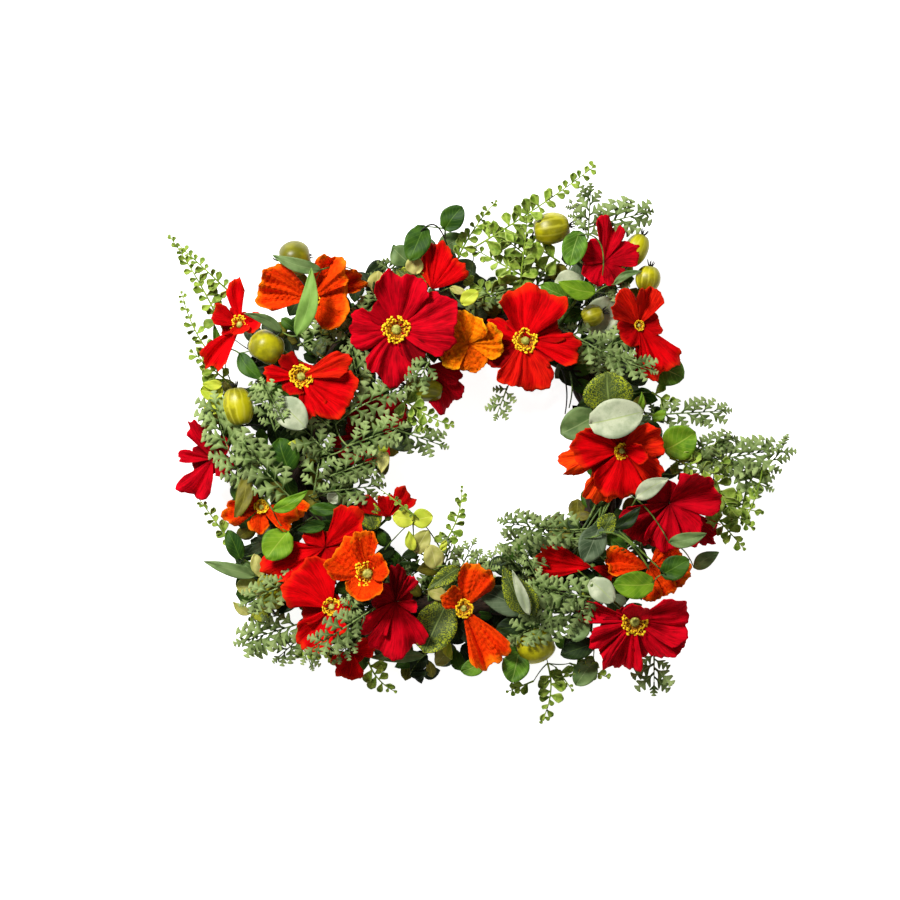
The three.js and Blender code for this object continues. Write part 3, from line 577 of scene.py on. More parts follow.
@once
def silk(kind):
    """Silk, darker with painted shade in its folds, its crepe wrinkles and at the heart. The tone paints shade on it
    below 0 and gives it its rim colour above.
    """
    fold, full, rim, reach = SILKS[kind]
    crepe = kind in CREPE
    shade_red = 1.4 if crepe else 1.0
    crimp_scales = (7.0, 12.0) if crepe else (2.0, 24.0)
    finish = Finish(kind + " silk", Roughness=0.75, Specular_IOR_Level=0.05)
    along, across = finish.across_and_along()
    tone = finish.tone()
    pleats = finish.speckle(2.0, 4.0, where=finish.stretched(along, across, 1.6, 9.0))
    cloud = finish.speckle(55.0, 2.0)
    crimp = finish.speckle(2.0, where=finish.stretched(along, across, *crimp_scales))
    # Painted shade in the pleats: the fold colour where the pleat pattern dips, mixed with random patches.
    base = finish.blend((pleats * 0.6 + cloud * 0.4).ramp(0.36, 0.60, 0.25), fold, full)
    if crepe:
        # Painted shade in the crepe's wrinkles, darker where the crimp pattern dips.
        base = finish.blend((1.0 - crimp.ramp(0.36, 0.54)) * 0.5, base, tuple(0.86 * c for c in fold))
    edge = (along + cloud * 0.3 - 0.15).ramp(0.84, 1.02) * reach
    tinted = finish.blend(edge.maths("MAXIMUM", tone * pleats.ramp(0.3, 0.6)), base, rim)
    # Painted shade at the heart, where the petals meet under the stamens.
    heart = 1.0 - along.ramp(0.02, 0.24)
    heart_shade_colour = (0.5 * shade_red * fold[0], 0.5 * fold[1], 0.5 * fold[2])
    petal_shade_colour = (0.6 * shade_red * fold[0], 0.5 * fold[1], 0.6 * fold[2])
    shaded = finish.blend(heart * 0.6, tinted, heart_shade_colour)
    # Painted shade on petals with a tone under 0: the filler petals under the gaps and petals that lie in shade.
    dark = finish.blend((tone * -1.0).maths("MAXIMUM", 0.0), shaded, petal_shade_colour)
    weave = finish.speckle(1500.0, 1.0)
    relief = crimp + pleats * 0.8 + weave * 0.08
    return finish.finish(dark, height=relief, depth=0.9 if crepe else 0.5, distance=0.0018)


LEAF_COLOURS = {  # blade, shade, vein
    "green": ((0.38, 0.55, 0.13), (0.24, 0.38, 0.06), (0.56, 0.66, 0.31)),
    "bright": ((0.46, 0.61, 0.11), (0.3, 0.47, 0.05), (0.62, 0.7, 0.25)),
    "deep": ((0.23, 0.37, 0.05), (0.12, 0.25, 0.03), (0.36, 0.49, 0.15)),
    # Near-black green: partly the leaves' own colour, partly painted shade for leaves deep in the wreath.
    "dark": ((0.13, 0.21, 0.05), (0.06, 0.12, 0.03), (0.25, 0.33, 0.10)),
    "sage": ((0.44, 0.53, 0.31), (0.3, 0.4, 0.2), (0.53, 0.6, 0.38)),
    "slate": ((0.38, 0.44, 0.32), (0.22, 0.29, 0.18), (0.50, 0.55, 0.42)),
    "mint": ((0.5, 0.64, 0.29), (0.42, 0.56, 0.23), (0.54, 0.66, 0.34)),
    "lime": ((0.78, 0.80, 0.26), (0.66, 0.72, 0.18), (0.82, 0.84, 0.38)),
    "beige": ((0.74, 0.72, 0.42), (0.60, 0.60, 0.28), (0.78, 0.76, 0.50)),
    "pale": ((0.74, 0.76, 0.63), (0.59, 0.63, 0.50), (0.62, 0.68, 0.40)),
    "olive": ((0.45, 0.43, 0.10), (0.28, 0.26, 0.04), (0.55, 0.52, 0.18)),
    "speckled": ((0.27, 0.33, 0.15), (0.19, 0.25, 0.1), (0.51, 0.58, 0.29)),
}


@once
def leaf_skin(kind):
    """A plastic or waxed leaf: cloudy, with a middle vein and side veins."""
    blade, shade, vein = LEAF_COLOURS[kind]
    smooth = kind in ("mint", "pale", "beige", "lime", "sage")
    finish = Finish(kind + " leaf", Roughness=0.55, Specular_IOR_Level=0.18)
    along, across = finish.across_and_along()
    side = across.absolute()
    middle = 1.0 - side.ramp(0.01, 0.06)
    ribs = ((along * 40.0 - side * 16.0).wave()).ramp(0.88, 1.0) * (side.ramp(0.0, 0.2) * (0.12 if smooth else 0.5))
    veins = middle.maths("MAXIMUM", ribs)
    cloud = finish.speckle(60.0)
    base = finish.blend(cloud.ramp(0.35, 0.65), shade, blade)
    if kind == "speckled":
        dots = finish.speckle(800.0, 2.0).ramp(0.46, 0.60)
        rim = side.ramp(0.0, 0.9, 0.1, 1.0)
        base = finish.blend(dots * rim, base, (0.66, 0.70, 0.10))
    if kind == "pale":
        flecks = finish.speckle(700.0, 2.0).ramp(0.60, 0.70)
        base = finish.blend(flecks * 0.35, base, (0.50, 0.55, 0.38))
    colour = finish.blend(veins * 0.7, base, vein)
    return finish.finish(colour, height=cloud * 0.3 - veins * 0.5, depth=0.35, distance=0.0006)


@once
def flock():
    """Velvety grey-green of the dusty fronds: pale on the ridges, darker with painted shade in the fork. The tone
    darkens some of them at random, and the undergrowth's with painted shade.
    """
    finish = Finish("dusty frond", Roughness=0.9, Specular_IOR_Level=0.05)
    along, across = finish.across_and_along()
    cloud = finish.speckle(130.0)
    fuzz = finish.speckle(1800.0, 1.0)
    base = finish.blend(cloud.ramp(0.35, 0.65), (0.34, 0.43, 0.20), (0.54, 0.62, 0.36))
    tip = finish.blend(along.ramp(0.2, 1.0) * 0.7, base, (0.66, 0.73, 0.47))
    # Painted shade in the fork, where each lobe meets the rib.
    fork = finish.blend(1.0 - along.ramp(0.0, 0.45), tip, (0.20, 0.27, 0.10))
    # The tone darkens some fronds at random, and the undergrowth's fronds with painted shade.
    age_and_shade = finish.blend(finish.tone(), fork, (0.13, 0.18, 0.06))
    rib = finish.blend((1.0 - across.absolute().ramp(0.03, 0.14)) * 0.45, age_and_shade, (0.62, 0.70, 0.46))
    return finish.finish(rib, height=fuzz * 0.4 + cloud * 0.4, depth=0.4, distance=0.0005)


@once
def fern_skin():
    """Lime of the fern leaflets: the tone takes them to olive."""
    finish = Finish("fern leaflet", Roughness=0.6, Specular_IOR_Level=0.15)
    along, across = finish.across_and_along()
    cloud = finish.speckle(160.0)
    base = finish.blend(cloud.ramp(0.35, 0.65), (0.38, 0.50, 0.11), (0.61, 0.70, 0.27))
    edge = finish.blend(across.absolute().ramp(0.6, 1.0) * 0.5, base, (0.70, 0.76, 0.42))
    aged = finish.blend(finish.tone(), edge, (0.25, 0.33, 0.08))
    fans = (across * 24.0).wave() * along
    return finish.finish(aged, height=fans * 0.4 + cloud * 0.3, depth=0.3, distance=0.0004)


@once
def fruit_skin(kind):
    """Foam fruit: yellow-green with pale meridian stripes, olive towards its ends. The tone darkens it with painted
    shade.
    """
    finish = Finish(kind + " skin", Roughness=0.36, Specular_IOR_Level=0.3)
    around, along = finish.across_and_along()
    cloud = finish.speckle(60.0, 4.0)
    grain = finish.speckle(700.0, 2.0)
    pale, shade, dark = (0.72, 0.69, 0.05), (0.52, 0.50, 0.03), (0.24, 0.26, 0.02)
    base = finish.blend(cloud.ramp(0.38, 0.62), shade, pale)
    if kind == "gooseberry":
        stripes = (around * 75.0 + cloud * 5.0).wave().ramp(0.35, 0.95)
        base = finish.blend(stripes * 0.55, base, (0.80, 0.77, 0.24))
    ends = along.absolute().ramp(0.25, 0.95) * 0.8
    # The tone paints shade on fruit that lies half hidden under leaves.
    colour = finish.blend(ends.maths("MAXIMUM", finish.tone()), base, dark)
    return finish.finish(colour, height=grain * 0.3 + cloud * 0.5, depth=0.2, distance=0.0005)


@once
def bark():
    """Near-black brown vine, split along its length."""
    finish = Finish("vine bark", Roughness=0.85, Specular_IOR_Level=0.2)
    along, across = finish.across_and_along()
    fibres = finish.speckle(3.0, 5.0, 0.65, finish.stretched(along, across, 60.0, 5.0))
    cloud = finish.speckle(70.0)
    base = finish.blend(fibres.ramp(0.35, 0.68), (0.07, 0.045, 0.035), (0.26, 0.19, 0.14))
    colour = finish.blend(cloud.ramp(0.5, 0.7) * 0.5, base, (0.12, 0.10, 0.07))
    return finish.finish(colour, height=fibres + cloud * 0.5, depth=0.8, distance=0.0015)


PLAIN_SKINS = {  # dark colour, light colour, roughness, how fine its cloud is
    "leaf stalk": ((0.16, 0.26, 0.08), (0.42, 0.52, 0.20), 0.5, 160.0),
    "dark wire": ((0.03, 0.03, 0.02), (0.13, 0.12, 0.07), 0.6, 260.0),
    "anther": ((0.95, 0.70, 0.01), (1.0, 0.90, 0.12), 0.7, 700.0),
    "filament": ((0.50, 0.22, 0.0), (0.90, 0.62, 0.03), 0.6, 400.0),
    "pistil": ((0.50, 0.50, 0.14), (0.76, 0.75, 0.36), 0.6, 300.0),
}


@once
def plain_skin(name):
    """Wires, stalks, stamens and the like: two close colours in a fine cloud."""
    dark, light, roughness, scale = PLAIN_SKINS[name]
    finish = Finish(name, Roughness=roughness, Specular_IOR_Level=0.3)
    cloud = finish.speckle(scale)
    colour = finish.blend(cloud.ramp(0.35, 0.65), dark, light)
    return finish.finish(colour, height=cloud, depth=0.3, distance=0.0004)


# ---------------------------------------------------------------- poppies


def petal(row, order, kind, heart, numbers):
    """One silk petal of a poppy that faces up, its heart at the origin."""
    middle, length, half_angle, pitch, tone = row
    phases = numbers.uniform(0, 2 * math.pi, 12)
    creases = numbers.uniform(-0.7, 0.7, 2)
    corners = numbers.uniform(-0.85, 0.85, 2)
    half_angle *= 1.06
    crepe = kind in CREPE
    crimp = (3.2 if kind == "amber" else 2.4) * wreath_sizes().crimp / MM
    inner = (9 if pitch > 28 else 2) * heart + 0.3
    deep = 1.8 if crepe else 1.3

    def place(u, v):
        angle = radians(middle + half_angle * (v + 0.07 * u * np.sin(5 * u + phases[0])) * (1.14 - 0.14 * u))
        edge = 0.97 - 0.03 * v**2 - 0.15 * v**4 + 0.04 * np.sin(2.3 * v + phases[1]) + 0.02 * np.sin(6 * v + phases[2])
        for corner in corners:
            edge = edge + 0.07 * np.clip(1 - 3 * np.abs(v - corner), 0, 1)
        edge = edge + 0.018 * np.sin(13 * v + phases[3]) + 0.012 * np.sin(29 * v + 5 * phases[3])
        reach = inner + (length * edge - inner) * u
        cup = 0.2 * np.abs(v) * reach * math.sin(radians(half_angle))
        rim = np.clip((u - 0.68) / 0.32, 0, 1) ** 2
        curl = rim * length * (0.08 * np.sin(2.7 * v + phases[4]) + 0.05 * np.sin(7 * v + phases[5]))
        folds = 0.06 * np.sin(3.1 * v + phases[6]) + 0.035 * np.sin(7.3 * v + phases[7] + 1.2 * u)
        folds = folds + 0.012 * np.sin(17 * v + phases[8] + 2 * np.sin(3 * u))
        for crease in creases:
            folds = folds - 0.05 * np.exp(-(((v - crease) / 0.1) ** 2))
        height = reach * math.sin(radians(pitch)) + cup + curl + deep * length * u * folds + 0.5 * order
        if crepe:
            bent = 3.0 * np.sin(3 * v + phases[9]) + 1.4 * np.sin(10 * v + phases[10])
            waves = np.sin(1.1 * reach + bent) * (0.6 + 0.4 * np.sin(4 * v + 5 * u + phases[11]))
            waves = waves + 0.6 * np.sin(1.9 * reach - 1.3 * bent)
            height = height + crimp * waves * np.clip(3 * u, 0, 1)
        return polar(reach * math.cos(radians(pitch)), angle, height)

    along = length / (1.8 if crepe else 2.6)
    return sheet(max(12, int(along)), int(np.clip(half_angle * length / 55, 12, 40)), place), tone


def stamens(scale, numbers):
    """The crown of stamens, and the pistil in its middle."""
    count = int(wreath_sizes().stamen_count * min(1, 0.3 + scale))

    def anther(t, angle):
        bulge = np.sin(math.pi * t)
        return np.stack([1.0 + 0.12 * bulge * np.cos(angle), 0.085 * bulge * np.sin(angle),
                         1.0 - 0.1 * np.cos(math.pi * t)], axis=1)

    thread = stem([(0, 0, 0), (0.5, 0, 0.6), (0.94, 0, 1)], 0.026, 0.022, 4, 5)
    template = joined("stamen", [
        painted(thread, plain_skin("filament")), painted(round_body(6, 4, anther), plain_skin("anther"))])
    places = []
    for i in range(count):
        angle = 2 * math.pi * (i + numbers.uniform(-0.3, 0.3)) / count
        reach = scale * numbers.uniform(6.5, 13.0)
        rise = scale * numbers.uniform(3.5, 8.0)
        size = numbers.uniform(0.85, 1.2)

        def place(points, angle=angle, reach=reach, rise=rise, size=size):
            away = reach * points[:, 0] + 2.5 * scale
            side = 18.0 * size * points[:, 1]
            x = away * math.cos(angle) - side * math.sin(angle)
            y = away * math.sin(angle) + side * math.cos(angle)
            return np.stack([x, y, 2.0 + rise * points[:, 2] + 6 * (size - 1) * (points[:, 2] > 0.9)], axis=1)

        places.append(place)
    crown = repeated(template, places)

    def dome(t, angle):
        radius = 5.4 * scale * np.sin(math.pi * t) ** 0.6 * (1 + 0.07 * np.cos(9 * angle) * (t > 0.5))
        return polar(radius, angle, 1 + 8.0 * scale * (1 - np.cos(math.pi * t)) / 2)

    return [*crown, painted(round_body(36, 12, dome), plain_skin("pistil"))]


def filled_out(rows):
    """The petals, over shorter ones darkened with painted shade wherever a narrow gap would show through the flower.
    """
    ringed = sorted(rows)
    under = []
    for row, after in zip(ringed, [*ringed[1:], (ringed[0][0] + 360, *ringed[0][1:])]):
        start, end = row[0] + row[2], after[0] - after[2]
        if 2 < end - start < 105:
            length = (0.68 if end - start < 50 else 0.56) * min(row[1], after[1])
            pitch = min((row[3] + after[3]) / 2, 12) - 3
            # Tone -0.4 paints shade on these shorter petals under the gaps.
            under.append(((start + end) / 2, length, (end - start) / 2 + 12, pitch, -0.4))
    return under + rows


def button(t, angle):
    """The green knob under a flower."""
    return polar(3.6 * np.sin(math.pi * t), angle, -8 + 7 * t)


def poppy(name):
    kind, where, (toward, lean), heart, rows = POPPIES[name]
    numbers = seeded(name)
    petals = []
    for order, row in enumerate(rows if kind in CREPE else filled_out(rows)):
        piece, tone = petal(row, order, kind, heart, numbers)
        petals.append(painted(piece, silk(kind), tone))
    parts = [thickened(joined(name, petals), wreath_sizes().petal_thickness / MM)]
    if heart:
        parts += stamens(heart, numbers)
    parts.append(painted(round_body(14, 8, button), plain_skin("leaf stalk")))
    head = joined(name, parts)
    toward = math.radians(toward)
    turn = moved(head, lean, (-math.sin(toward), math.cos(toward), 0), where)
    foot = foot_on_ring(*where[:2], STALK_START)
    neck = np.array(where) + turn @ (0, 0, -6.0)
    middle = (foot + neck) / 2 + (numbers.uniform(-4, 4), numbers.uniform(-4, 4), -2)
    wire = painted(stem([foot, middle, neck], 1.7, 1.4, 8, 10), plain_skin("leaf stalk"))
    finished(joined(name + "_silk", [head, wire]), name.split("_")[0] + "_silk", *solids_of(name))


# ---------------------------------------------------------------- fruit


def berry(row, kind, numbers):
    """A foam fruit on its side, with a dimple at each end, and its stalk or its dry tuft."""
    x, y, height, across, along, direction, shade = row
    ribs = 7 if kind == "gooseberry" else 5

    def place(t, angle):
        bulge = np.sin(math.pi * t) ** (0.85 if kind == "apple" else 0.95)
        ridge = 1 + 0.018 * np.cos(ribs * angle) * np.sin(math.pi * t)
        dimple = 0.22 * np.exp(-((t * 9) ** 2)) - 0.16 * np.exp(-(((1 - t) * 11) ** 2))
        reach = -np.cos(math.pi * t) + dimple
        radius = across * bulge * ridge
        return np.stack([along * reach, radius * np.cos(angle), radius * np.sin(angle)], axis=1)

    parts = [painted(round_body(48, 32, place), fruit_skin(kind), shade)]
    if kind == "apple":
        curve = [(-0.75 * along, 0, 0), (-1.1 * along, 1, 2), (-1.25 * along, 4, 5)]
        parts.append(painted(stem(curve, 0.9, 0.7), plain_skin("dark wire")))
        tuft_at, tuft_size, tufts = 0.92 * along, 3.0, 5
    else:
        tuft_at, tuft_size, tufts = 0.97 * along, 6.0, 9
    for i in range(tufts):
        angle = 2 * math.pi * i / tufts + numbers.uniform(-0.2, 0.2)
        out = np.array([0, math.cos(angle), math.sin(angle)])
        start = np.array([tuft_at - 1.0, 0, 0]) + 1.2 * out
        end = np.array([tuft_at + tuft_size * numbers.uniform(0.6, 1.0), 0, 0]) + tuft_size * 0.7 * out
        hair = stem([start, (start + end) / 2 + 0.8 * out, end], 0.8, 0.25, 5, 5)
        parts.append(painted(hair, plain_skin("dark wire")))
    whole = joined("berry", parts)
    moved(whole, direction, "Z", (x, y, height))
    direction = math.radians(direction)
    foot = foot_on_ring(x, y, STALK_START)
    end = np.array([x, y, height]) - np.array([math.cos(direction), math.sin(direction), 0.2]) * along * 0.9
    middle = (foot + end) / 2 - (0, 0, 3)
    return joined("berry", [whole, painted(stem([foot, middle, end], 1.2, 0.9), plain_skin("dark wire"))])


def fruit(name, rows, kind):
    numbers = seeded(name)
    whole = joined(name + "_fruit", [berry(row, kind, numbers) for row in rows])
    finished(whole, "fruit", name)


# ---------------------------------------------------------------- greenery


def blade_line(row):
    """The middle line of a leaf or frond as three control points, with the way to its side and out of its face."""
    base = np.array([row[0], row[1], row[5]], float)
    tip = np.array([row[2], row[3], row[5] + row[6]], float)
    ahead = unit(tip - base)
    side = unit(np.cross((0, 0, 1.0), ahead))
    return base, tip, ahead, side, np.cross(ahead, side)


def twig(start, end, thick, tip_thick, numbers, skin):
    """A thin wire stalk that sags from start and rises to end."""
    span = np.linalg.norm(end - start)
    middle = (start + end) / 2 + numbers.uniform(-0.2, 0.2, 3) * span - (0, 0, 0.3 * span)
    middle[2] = max(middle[2], 3)
    return painted(stem([start, middle, end], thick, tip_thick, 5, 8), skin)


def leaf(row, numbers):
    """One leaf, folded along its middle line and a little bent."""
    base, tip, ahead, side, up = blade_line(row)
    width, kind = row[4], row[7]
    length = np.linalg.norm(tip - base)
    wide = width > 0.55 * length
    phases = numbers.uniform(0, 2 * math.pi, 3)
    arch = numbers.uniform(0.03, 0.10) * length
    fold = numbers.uniform(0.06, 0.22)
    twist = numbers.uniform(-0.2, 0.2)
    bow = numbers.uniform(-0.1, 0.1) * length * (0.4 if wide else 1.0)

    def place(u, v):
        half = np.sin(math.pi * u**0.85) ** 0.55 if wide else np.sin(math.pi * u**0.75) ** 0.85
        out = v * half * width / 2
        lift = arch * np.sin(math.pi * u) + fold * np.abs(out) + twist * out * u
        lift = lift + 0.7 * np.sin(9 * u + 4 * v + phases[0])
        notch = -0.05 * length * np.abs(v) * (u < 0.12) if wide else 0.0
        bend = bow * np.sin(math.pi * u) + out
        return base + np.outer(u * length + notch, ahead) + np.outer(bend, side) + np.outer(lift, up)

    return painted(sheet(16 if length > 16 else 12, 10 if width > 12 else 8, place), leaf_skin(kind))


def lobe_template():
    """One lobe of a dusty frond, cut deep into blunt fingers that point ahead, one unit long."""

    def place(u, v):
        fingers = np.clip(1.7 * np.abs(np.sin(math.pi * (3.33 * u + 0.3))) - 0.45, 0, 1)
        fingers = fingers * np.clip((u - 0.18) / 0.1, 0, 1)
        half = (0.045 + 0.27 * fingers * (1.15 - 0.5 * u)) * np.sqrt(1.02 - u**14)
        ahead = u + 0.26 * np.abs(v) * fingers * (1 - 0.9 * u)
        return np.stack([ahead, half * v, 0.3 * np.abs(v) * half + 0.05 * np.sin(6 * u)], axis=1)

    return sheet(20, 2, place)


def leaflet_template():
    """One round-ended leaflet of a fern, one unit long."""

    def place(u, v):
        half = 0.05 + 0.46 * np.clip((u - 0.12) / 0.88, 0, 1) ** 0.75
        reach = u * (1 - 0.1 * v**2 * u)
        return np.stack([reach, half * v * np.sqrt(1.02 - 0.85 * u**5), 0.25 * np.abs(v) * u], axis=1)

    return sheet(6, 6, place)


def placed(origin, ahead, up, size, spread, cup):
    """A function that puts a template's points at origin, pointing ahead, with its face up."""
    side = unit(np.cross(up, ahead))
    face = np.cross(ahead, side)

    def place(points):
        bent = points[:, 2] + cup * points[:, 0] ** 2
        return (origin + np.outer(size * points[:, 0], ahead) + np.outer(size * spread * points[:, 1], side)
                + np.outer(size * bent, face))

    return place


def pinnate(name, rows, template, skin, spacing, angle, shape, numbers, loose, painted_shade=0.0):
    """The parts of some fronds: lobes or leaflets in pairs along each row's rib, with one at its tip.

    shape gives their size along the rib, loose how irregular they are, and the last argument how much painted shade
    darkens them.
    """
    places, ribs, tones = [], [], []
    for row in rows:
        base, tip, ahead, side, up = blade_line(row)
        bow = row[7] if len(row) > 7 else 0
        length = np.linalg.norm(tip - base)
        middle = (base + tip) / 2 + 2 * bow * side + up * numbers.uniform(0.02, 0.09) * length
        controls = [base, middle, tip]
        ribs.append(painted(stem(controls, 1.1, 0.45, 5, 12), skin, painted_shade))
        pairs = max(3, round(length / spacing))
        # A random darkening, on top of the painted shade that the undergrowth's fronds get.
        age_and_shade = painted_shade + numbers.uniform(0, 0.4)
        for i in range(pairs):
            for hand in (-1, 1):
                share = (i + 0.55 + 0.22 * hand + loose * numbers.uniform(-0.3, 0.3)) / (pairs + 0.4)
                if share < 0.06:
                    continue
                spot = curve_point(controls, np.array([share]))[0]
                turn = radians(angle * (1.15 - 0.4 * share) + (8 + 20 * loose) * numbers.uniform(-1, 1)) * hand
                heading = unit(ahead * math.cos(turn) + side * math.sin(turn) + up * numbers.uniform(-0.15, 0.3))
                size = row[4] / 2 * shape(share) * (1 + (0.1 + 0.2 * loose) * numbers.uniform(-1, 1))
                tilt = (0.3 + 0.6 * loose) * numbers.uniform(-1, 1, 2)
                face = unit(up + tilt[0] * side + tilt[1] * ahead)
                places.append(placed(spot, heading, face, size, 1.0, numbers.uniform(-0.25, 0.1)))
                tones.append(np.clip(age_and_shade + loose * numbers.uniform(-0.3, 0.3), 0, 1))
        spot = curve_point(controls, np.array([0.97]))[0]
        places.append(placed(spot, unit(tip - middle), up, row[4] / 2 * shape(1.0) * 0.9, 1.0, -0.1))
        tones.append(age_and_shade)
    blades = [painted(blade, skin, tone) for blade, tone in zip(repeated(template, places), tones)]
    return [thickened(joined(name, blades), wreath_sizes().leaf_thickness / MM), *ribs]


def wires(rows, thick, numbers, skin):
    """A stalk to the foot of each blade, from the ring or from the nearest foot before it."""
    joints, stalks = [], []
    for row in rows:
        base = np.array([row[0], row[1], row[5]], float)
        foot = foot_on_ring(row[0], row[1], PICK_START)
        start = min([foot, *joints], key=lambda joint: np.linalg.norm(joint - base))
        stalks.append(twig(start, base, thick, 0.6 * thick, numbers, skin))
        joints.append(base)
    return stalks


def leaf_pick(name):
    rows = LEAVES[name]
    numbers = seeded(name)
    blades = thickened(joined(name, [leaf(row, numbers) for row in rows]), wreath_sizes().leaf_thickness / MM)
    whole = joined(name + "_leaves", [blades, *wires(rows, 0.9, numbers, plain_skin("leaf stalk"))])
    finished(whole, "green_leaf", name)


def frond_shape(share):
    """How large a lobe is along a dusty frond: largest in its middle."""
    return 0.75 + 0.7 * math.sin(math.pi * (0.12 + 0.75 * share))


def frond_pick(name):
    rows = FRONDS[name]
    numbers = seeded(name)
    parts = pinnate(name, rows, lobe_template(), flock(), 11.0, 50, frond_shape, numbers, 0.15)
    whole = joined(name + "_fronds", [*parts, *wires(rows, 1.0, numbers, flock())])
    finished(whole, "sage_leaf", *solids_of(name))


def fern_shape(share):
    """How large a leaflet is along a fern sprig: smaller towards its tip."""
    return 1.4 - 0.95 * share


def fern_pick(name):
    rows = FERNS[name]
    numbers = seeded(name)
    parts = pinnate(name, rows, leaflet_template(), fern_skin(), 8.0, 62, fern_shape, numbers, 1.0)
    whole = joined(name + "_sprigs", [*parts, *wires(rows, 0.8, numbers, plain_skin("leaf stalk"))])
    finished(whole, "fern_leaf", name)


def small_leaf_template():
    """One pointed leaf, one unit long."""

    def place(u, v):
        half = 0.32 * np.sin(math.pi * u**0.8) ** 0.7
        return np.stack([u, v * half, 0.08 * np.sin(math.pi * u) + 0.2 * np.abs(v) * half], axis=1)

    return sheet(7, 4, place)


def crowns():
    """What fills the wreath: the middles of its flowers, fruit and leaves, how far round each, and how much."""
    flowers = [(*where[:2], 34, 1) for _, where, *_ in POPPIES.values()]
    fruits = [(row[0], row[1], 28, 0.4) for rows in (*APPLES.values(), *GOOSEBERRIES.values()) for row in rows]
    blades = [row for rows in (*LEAVES.values(), *FRONDS.values()) for row in rows]
    middles = [((row[0] + row[2]) / 2, (row[1] + row[3]) / 2, 30, 0.4) for row in blades]
    return np.array([THICKET, *flowers, *fruits, *middles], float)


def filled_spots(numbers):
    """Spots in a loose grid wherever the wreath is full enough."""
    sizes = wreath_sizes()
    full = crowns()
    gap = sizes.undergrowth_gap / MM
    marks = np.arange(-260, 260, gap)
    spots = []
    for x in marks:
        for y in marks:
            here = np.array([x, y]) + numbers.uniform(-0.45, 0.45, 2) * gap
            near = np.sum((full[:, :2] - here) ** 2, axis=1)
            away = math.hypot(*here)
            ring = 0.5 * math.exp(-(((away - sizes.ring_radius / MM) / 30) ** 2))
            enough = 0.75 + max(0, away - RIM_START) / 70
            in_place = away > OPENING or math.dist(here, THICKET[:2]) < THICKET[2]
            if in_place and ring + np.sum(full[:, 3] * np.exp(-near / full[:, 2] ** 2)) > enough:
                spots.append(np.array([*here, numbers.uniform(6, 40)]))
    return spots


def small_leaves(kind, spots, numbers):
    """One small leaf of this kind at each of the spots."""
    places = []
    for spot in spots:
        angle = numbers.uniform(0, 2 * math.pi)
        heading = unit(np.array([math.cos(angle), math.sin(angle), numbers.uniform(-0.2, 0.4)]))
        face = unit(np.array([*numbers.uniform(-0.5, 0.5, 2), 1.0]))
        size = numbers.uniform(18, 28)
        places.append(placed(spot - heading * size / 2, heading, face, size, numbers.uniform(0.8, 1.2), -0.1))
    blades = [painted(blade, leaf_skin(kind)) for blade in repeated(small_leaf_template(), places)]
    whole = joined("undergrowth_" + kind, blades)
    finished(thickened(whole, wreath_sizes().leaf_thickness / MM), "green_leaf")


def undergrowth():
    """Small dark leaves and fronds that fill the wreath round its ring, under the flowers: their mostly near-black
    colours are painted shade for its depths.
    """
    numbers = seeded("undergrowth")
    spots = filled_spots(numbers)
    # Mostly the near-black kind: painted shade for the depths under the flowers.
    kinds = numbers.choice(("dark", "deep", "olive", "slate"), len(spots), p=(0.5, 0.2, 0.15, 0.15))
    for kind in ("dark", "deep", "olive", "slate"):
        small_leaves(kind, [spot for spot, its_kind in zip(spots, kinds) if its_kind == kind], numbers)

    rows = []
    for base in numbers.permutation(spots)[: len(spots) // 16]:
        angle = math.atan2(base[1], base[0]) + numbers.choice((0, 0, math.pi)) + numbers.uniform(-1.2, 1.2)
        length = numbers.uniform(34, 48)
        tip = base + (length * math.cos(angle), length * math.sin(angle), 0)
        if OPENING + 2 < math.hypot(tip[0], tip[1]) < 225:
            rows.append((base[0], base[1], tip[0], tip[1], 24, max(base[2], 18), numbers.uniform(0, 8)))
    # The undergrowth's fronds are darkened with painted shade.
    parts = pinnate("undergrowth", rows, lobe_template(), flock(), 10.5, 50, frond_shape, numbers, 0.4, painted_shade=0.5)
    finished(joined("undergrowth_fronds", parts), "sage_leaf")


def curl(name):
    """A bare stalk or tendril along its control points."""
    thick, tip_thick, skin, points = CURLS[name]
    material = fern_skin() if skin == "fern" else plain_skin(skin)
    finished(painted(stem(points, thick, tip_thick, 6, 14), material), "vine").name = name


# ---------------------------------------------------------------- the vine ring


def outwards(factor):
    """Factors that move a point away from the middle and keep its height."""
    return factor, factor, 1


def vine(i, numbers):
    """One of the long vines, wound round the others."""
    sizes = wreath_sizes()
    radius, bundle, top = sizes.ring_radius / MM, sizes.bundle_radius / MM, sizes.ring_height / MM
    turns = int(numbers.integers(3, 7)) * (1 if i % 3 else -1)
    phase = 2 * math.pi * i / VINES
    thick = numbers.uniform(3.6, 5.6)
    reach = bundle * (0.3 if i < INNER_VINES else 0.72) - 0.3 * thick
    wobble = numbers.uniform(0, 2 * math.pi, 4)
    bpy.ops.mesh.primitive_torus_add(
        major_segments=192, minor_segments=8, major_radius=1, minor_radius=0.1, generate_uvs=True)
    whole = bpy.context.object
    points = vertices_of(whole)
    angle = np.arctan2(points[:, 1], points[:, 0])
    out = (np.hypot(points[:, 0], points[:, 1]) - 1) / 0.1
    rise = points[:, 2] / 0.1
    helix = turns * angle + phase + 0.5 * np.sin(3 * angle + wobble[0])
    far = reach * (1 + 0.16 * np.sin(5 * angle + wobble[1]) + 0.07 * np.sin(13 * angle + wobble[2]))
    size = thick * (1 + 0.14 * np.sin(17 * angle + wobble[3]) + 0.07 * np.sin(41 * angle))
    height = np.maximum(top / 2 + far * 0.86 * np.sin(helix) + size * rise, 0.2)
    set_vertices(whole, polar(radius + far * np.cos(helix) + size * out, angle, height))
    return painted(whole, bark())


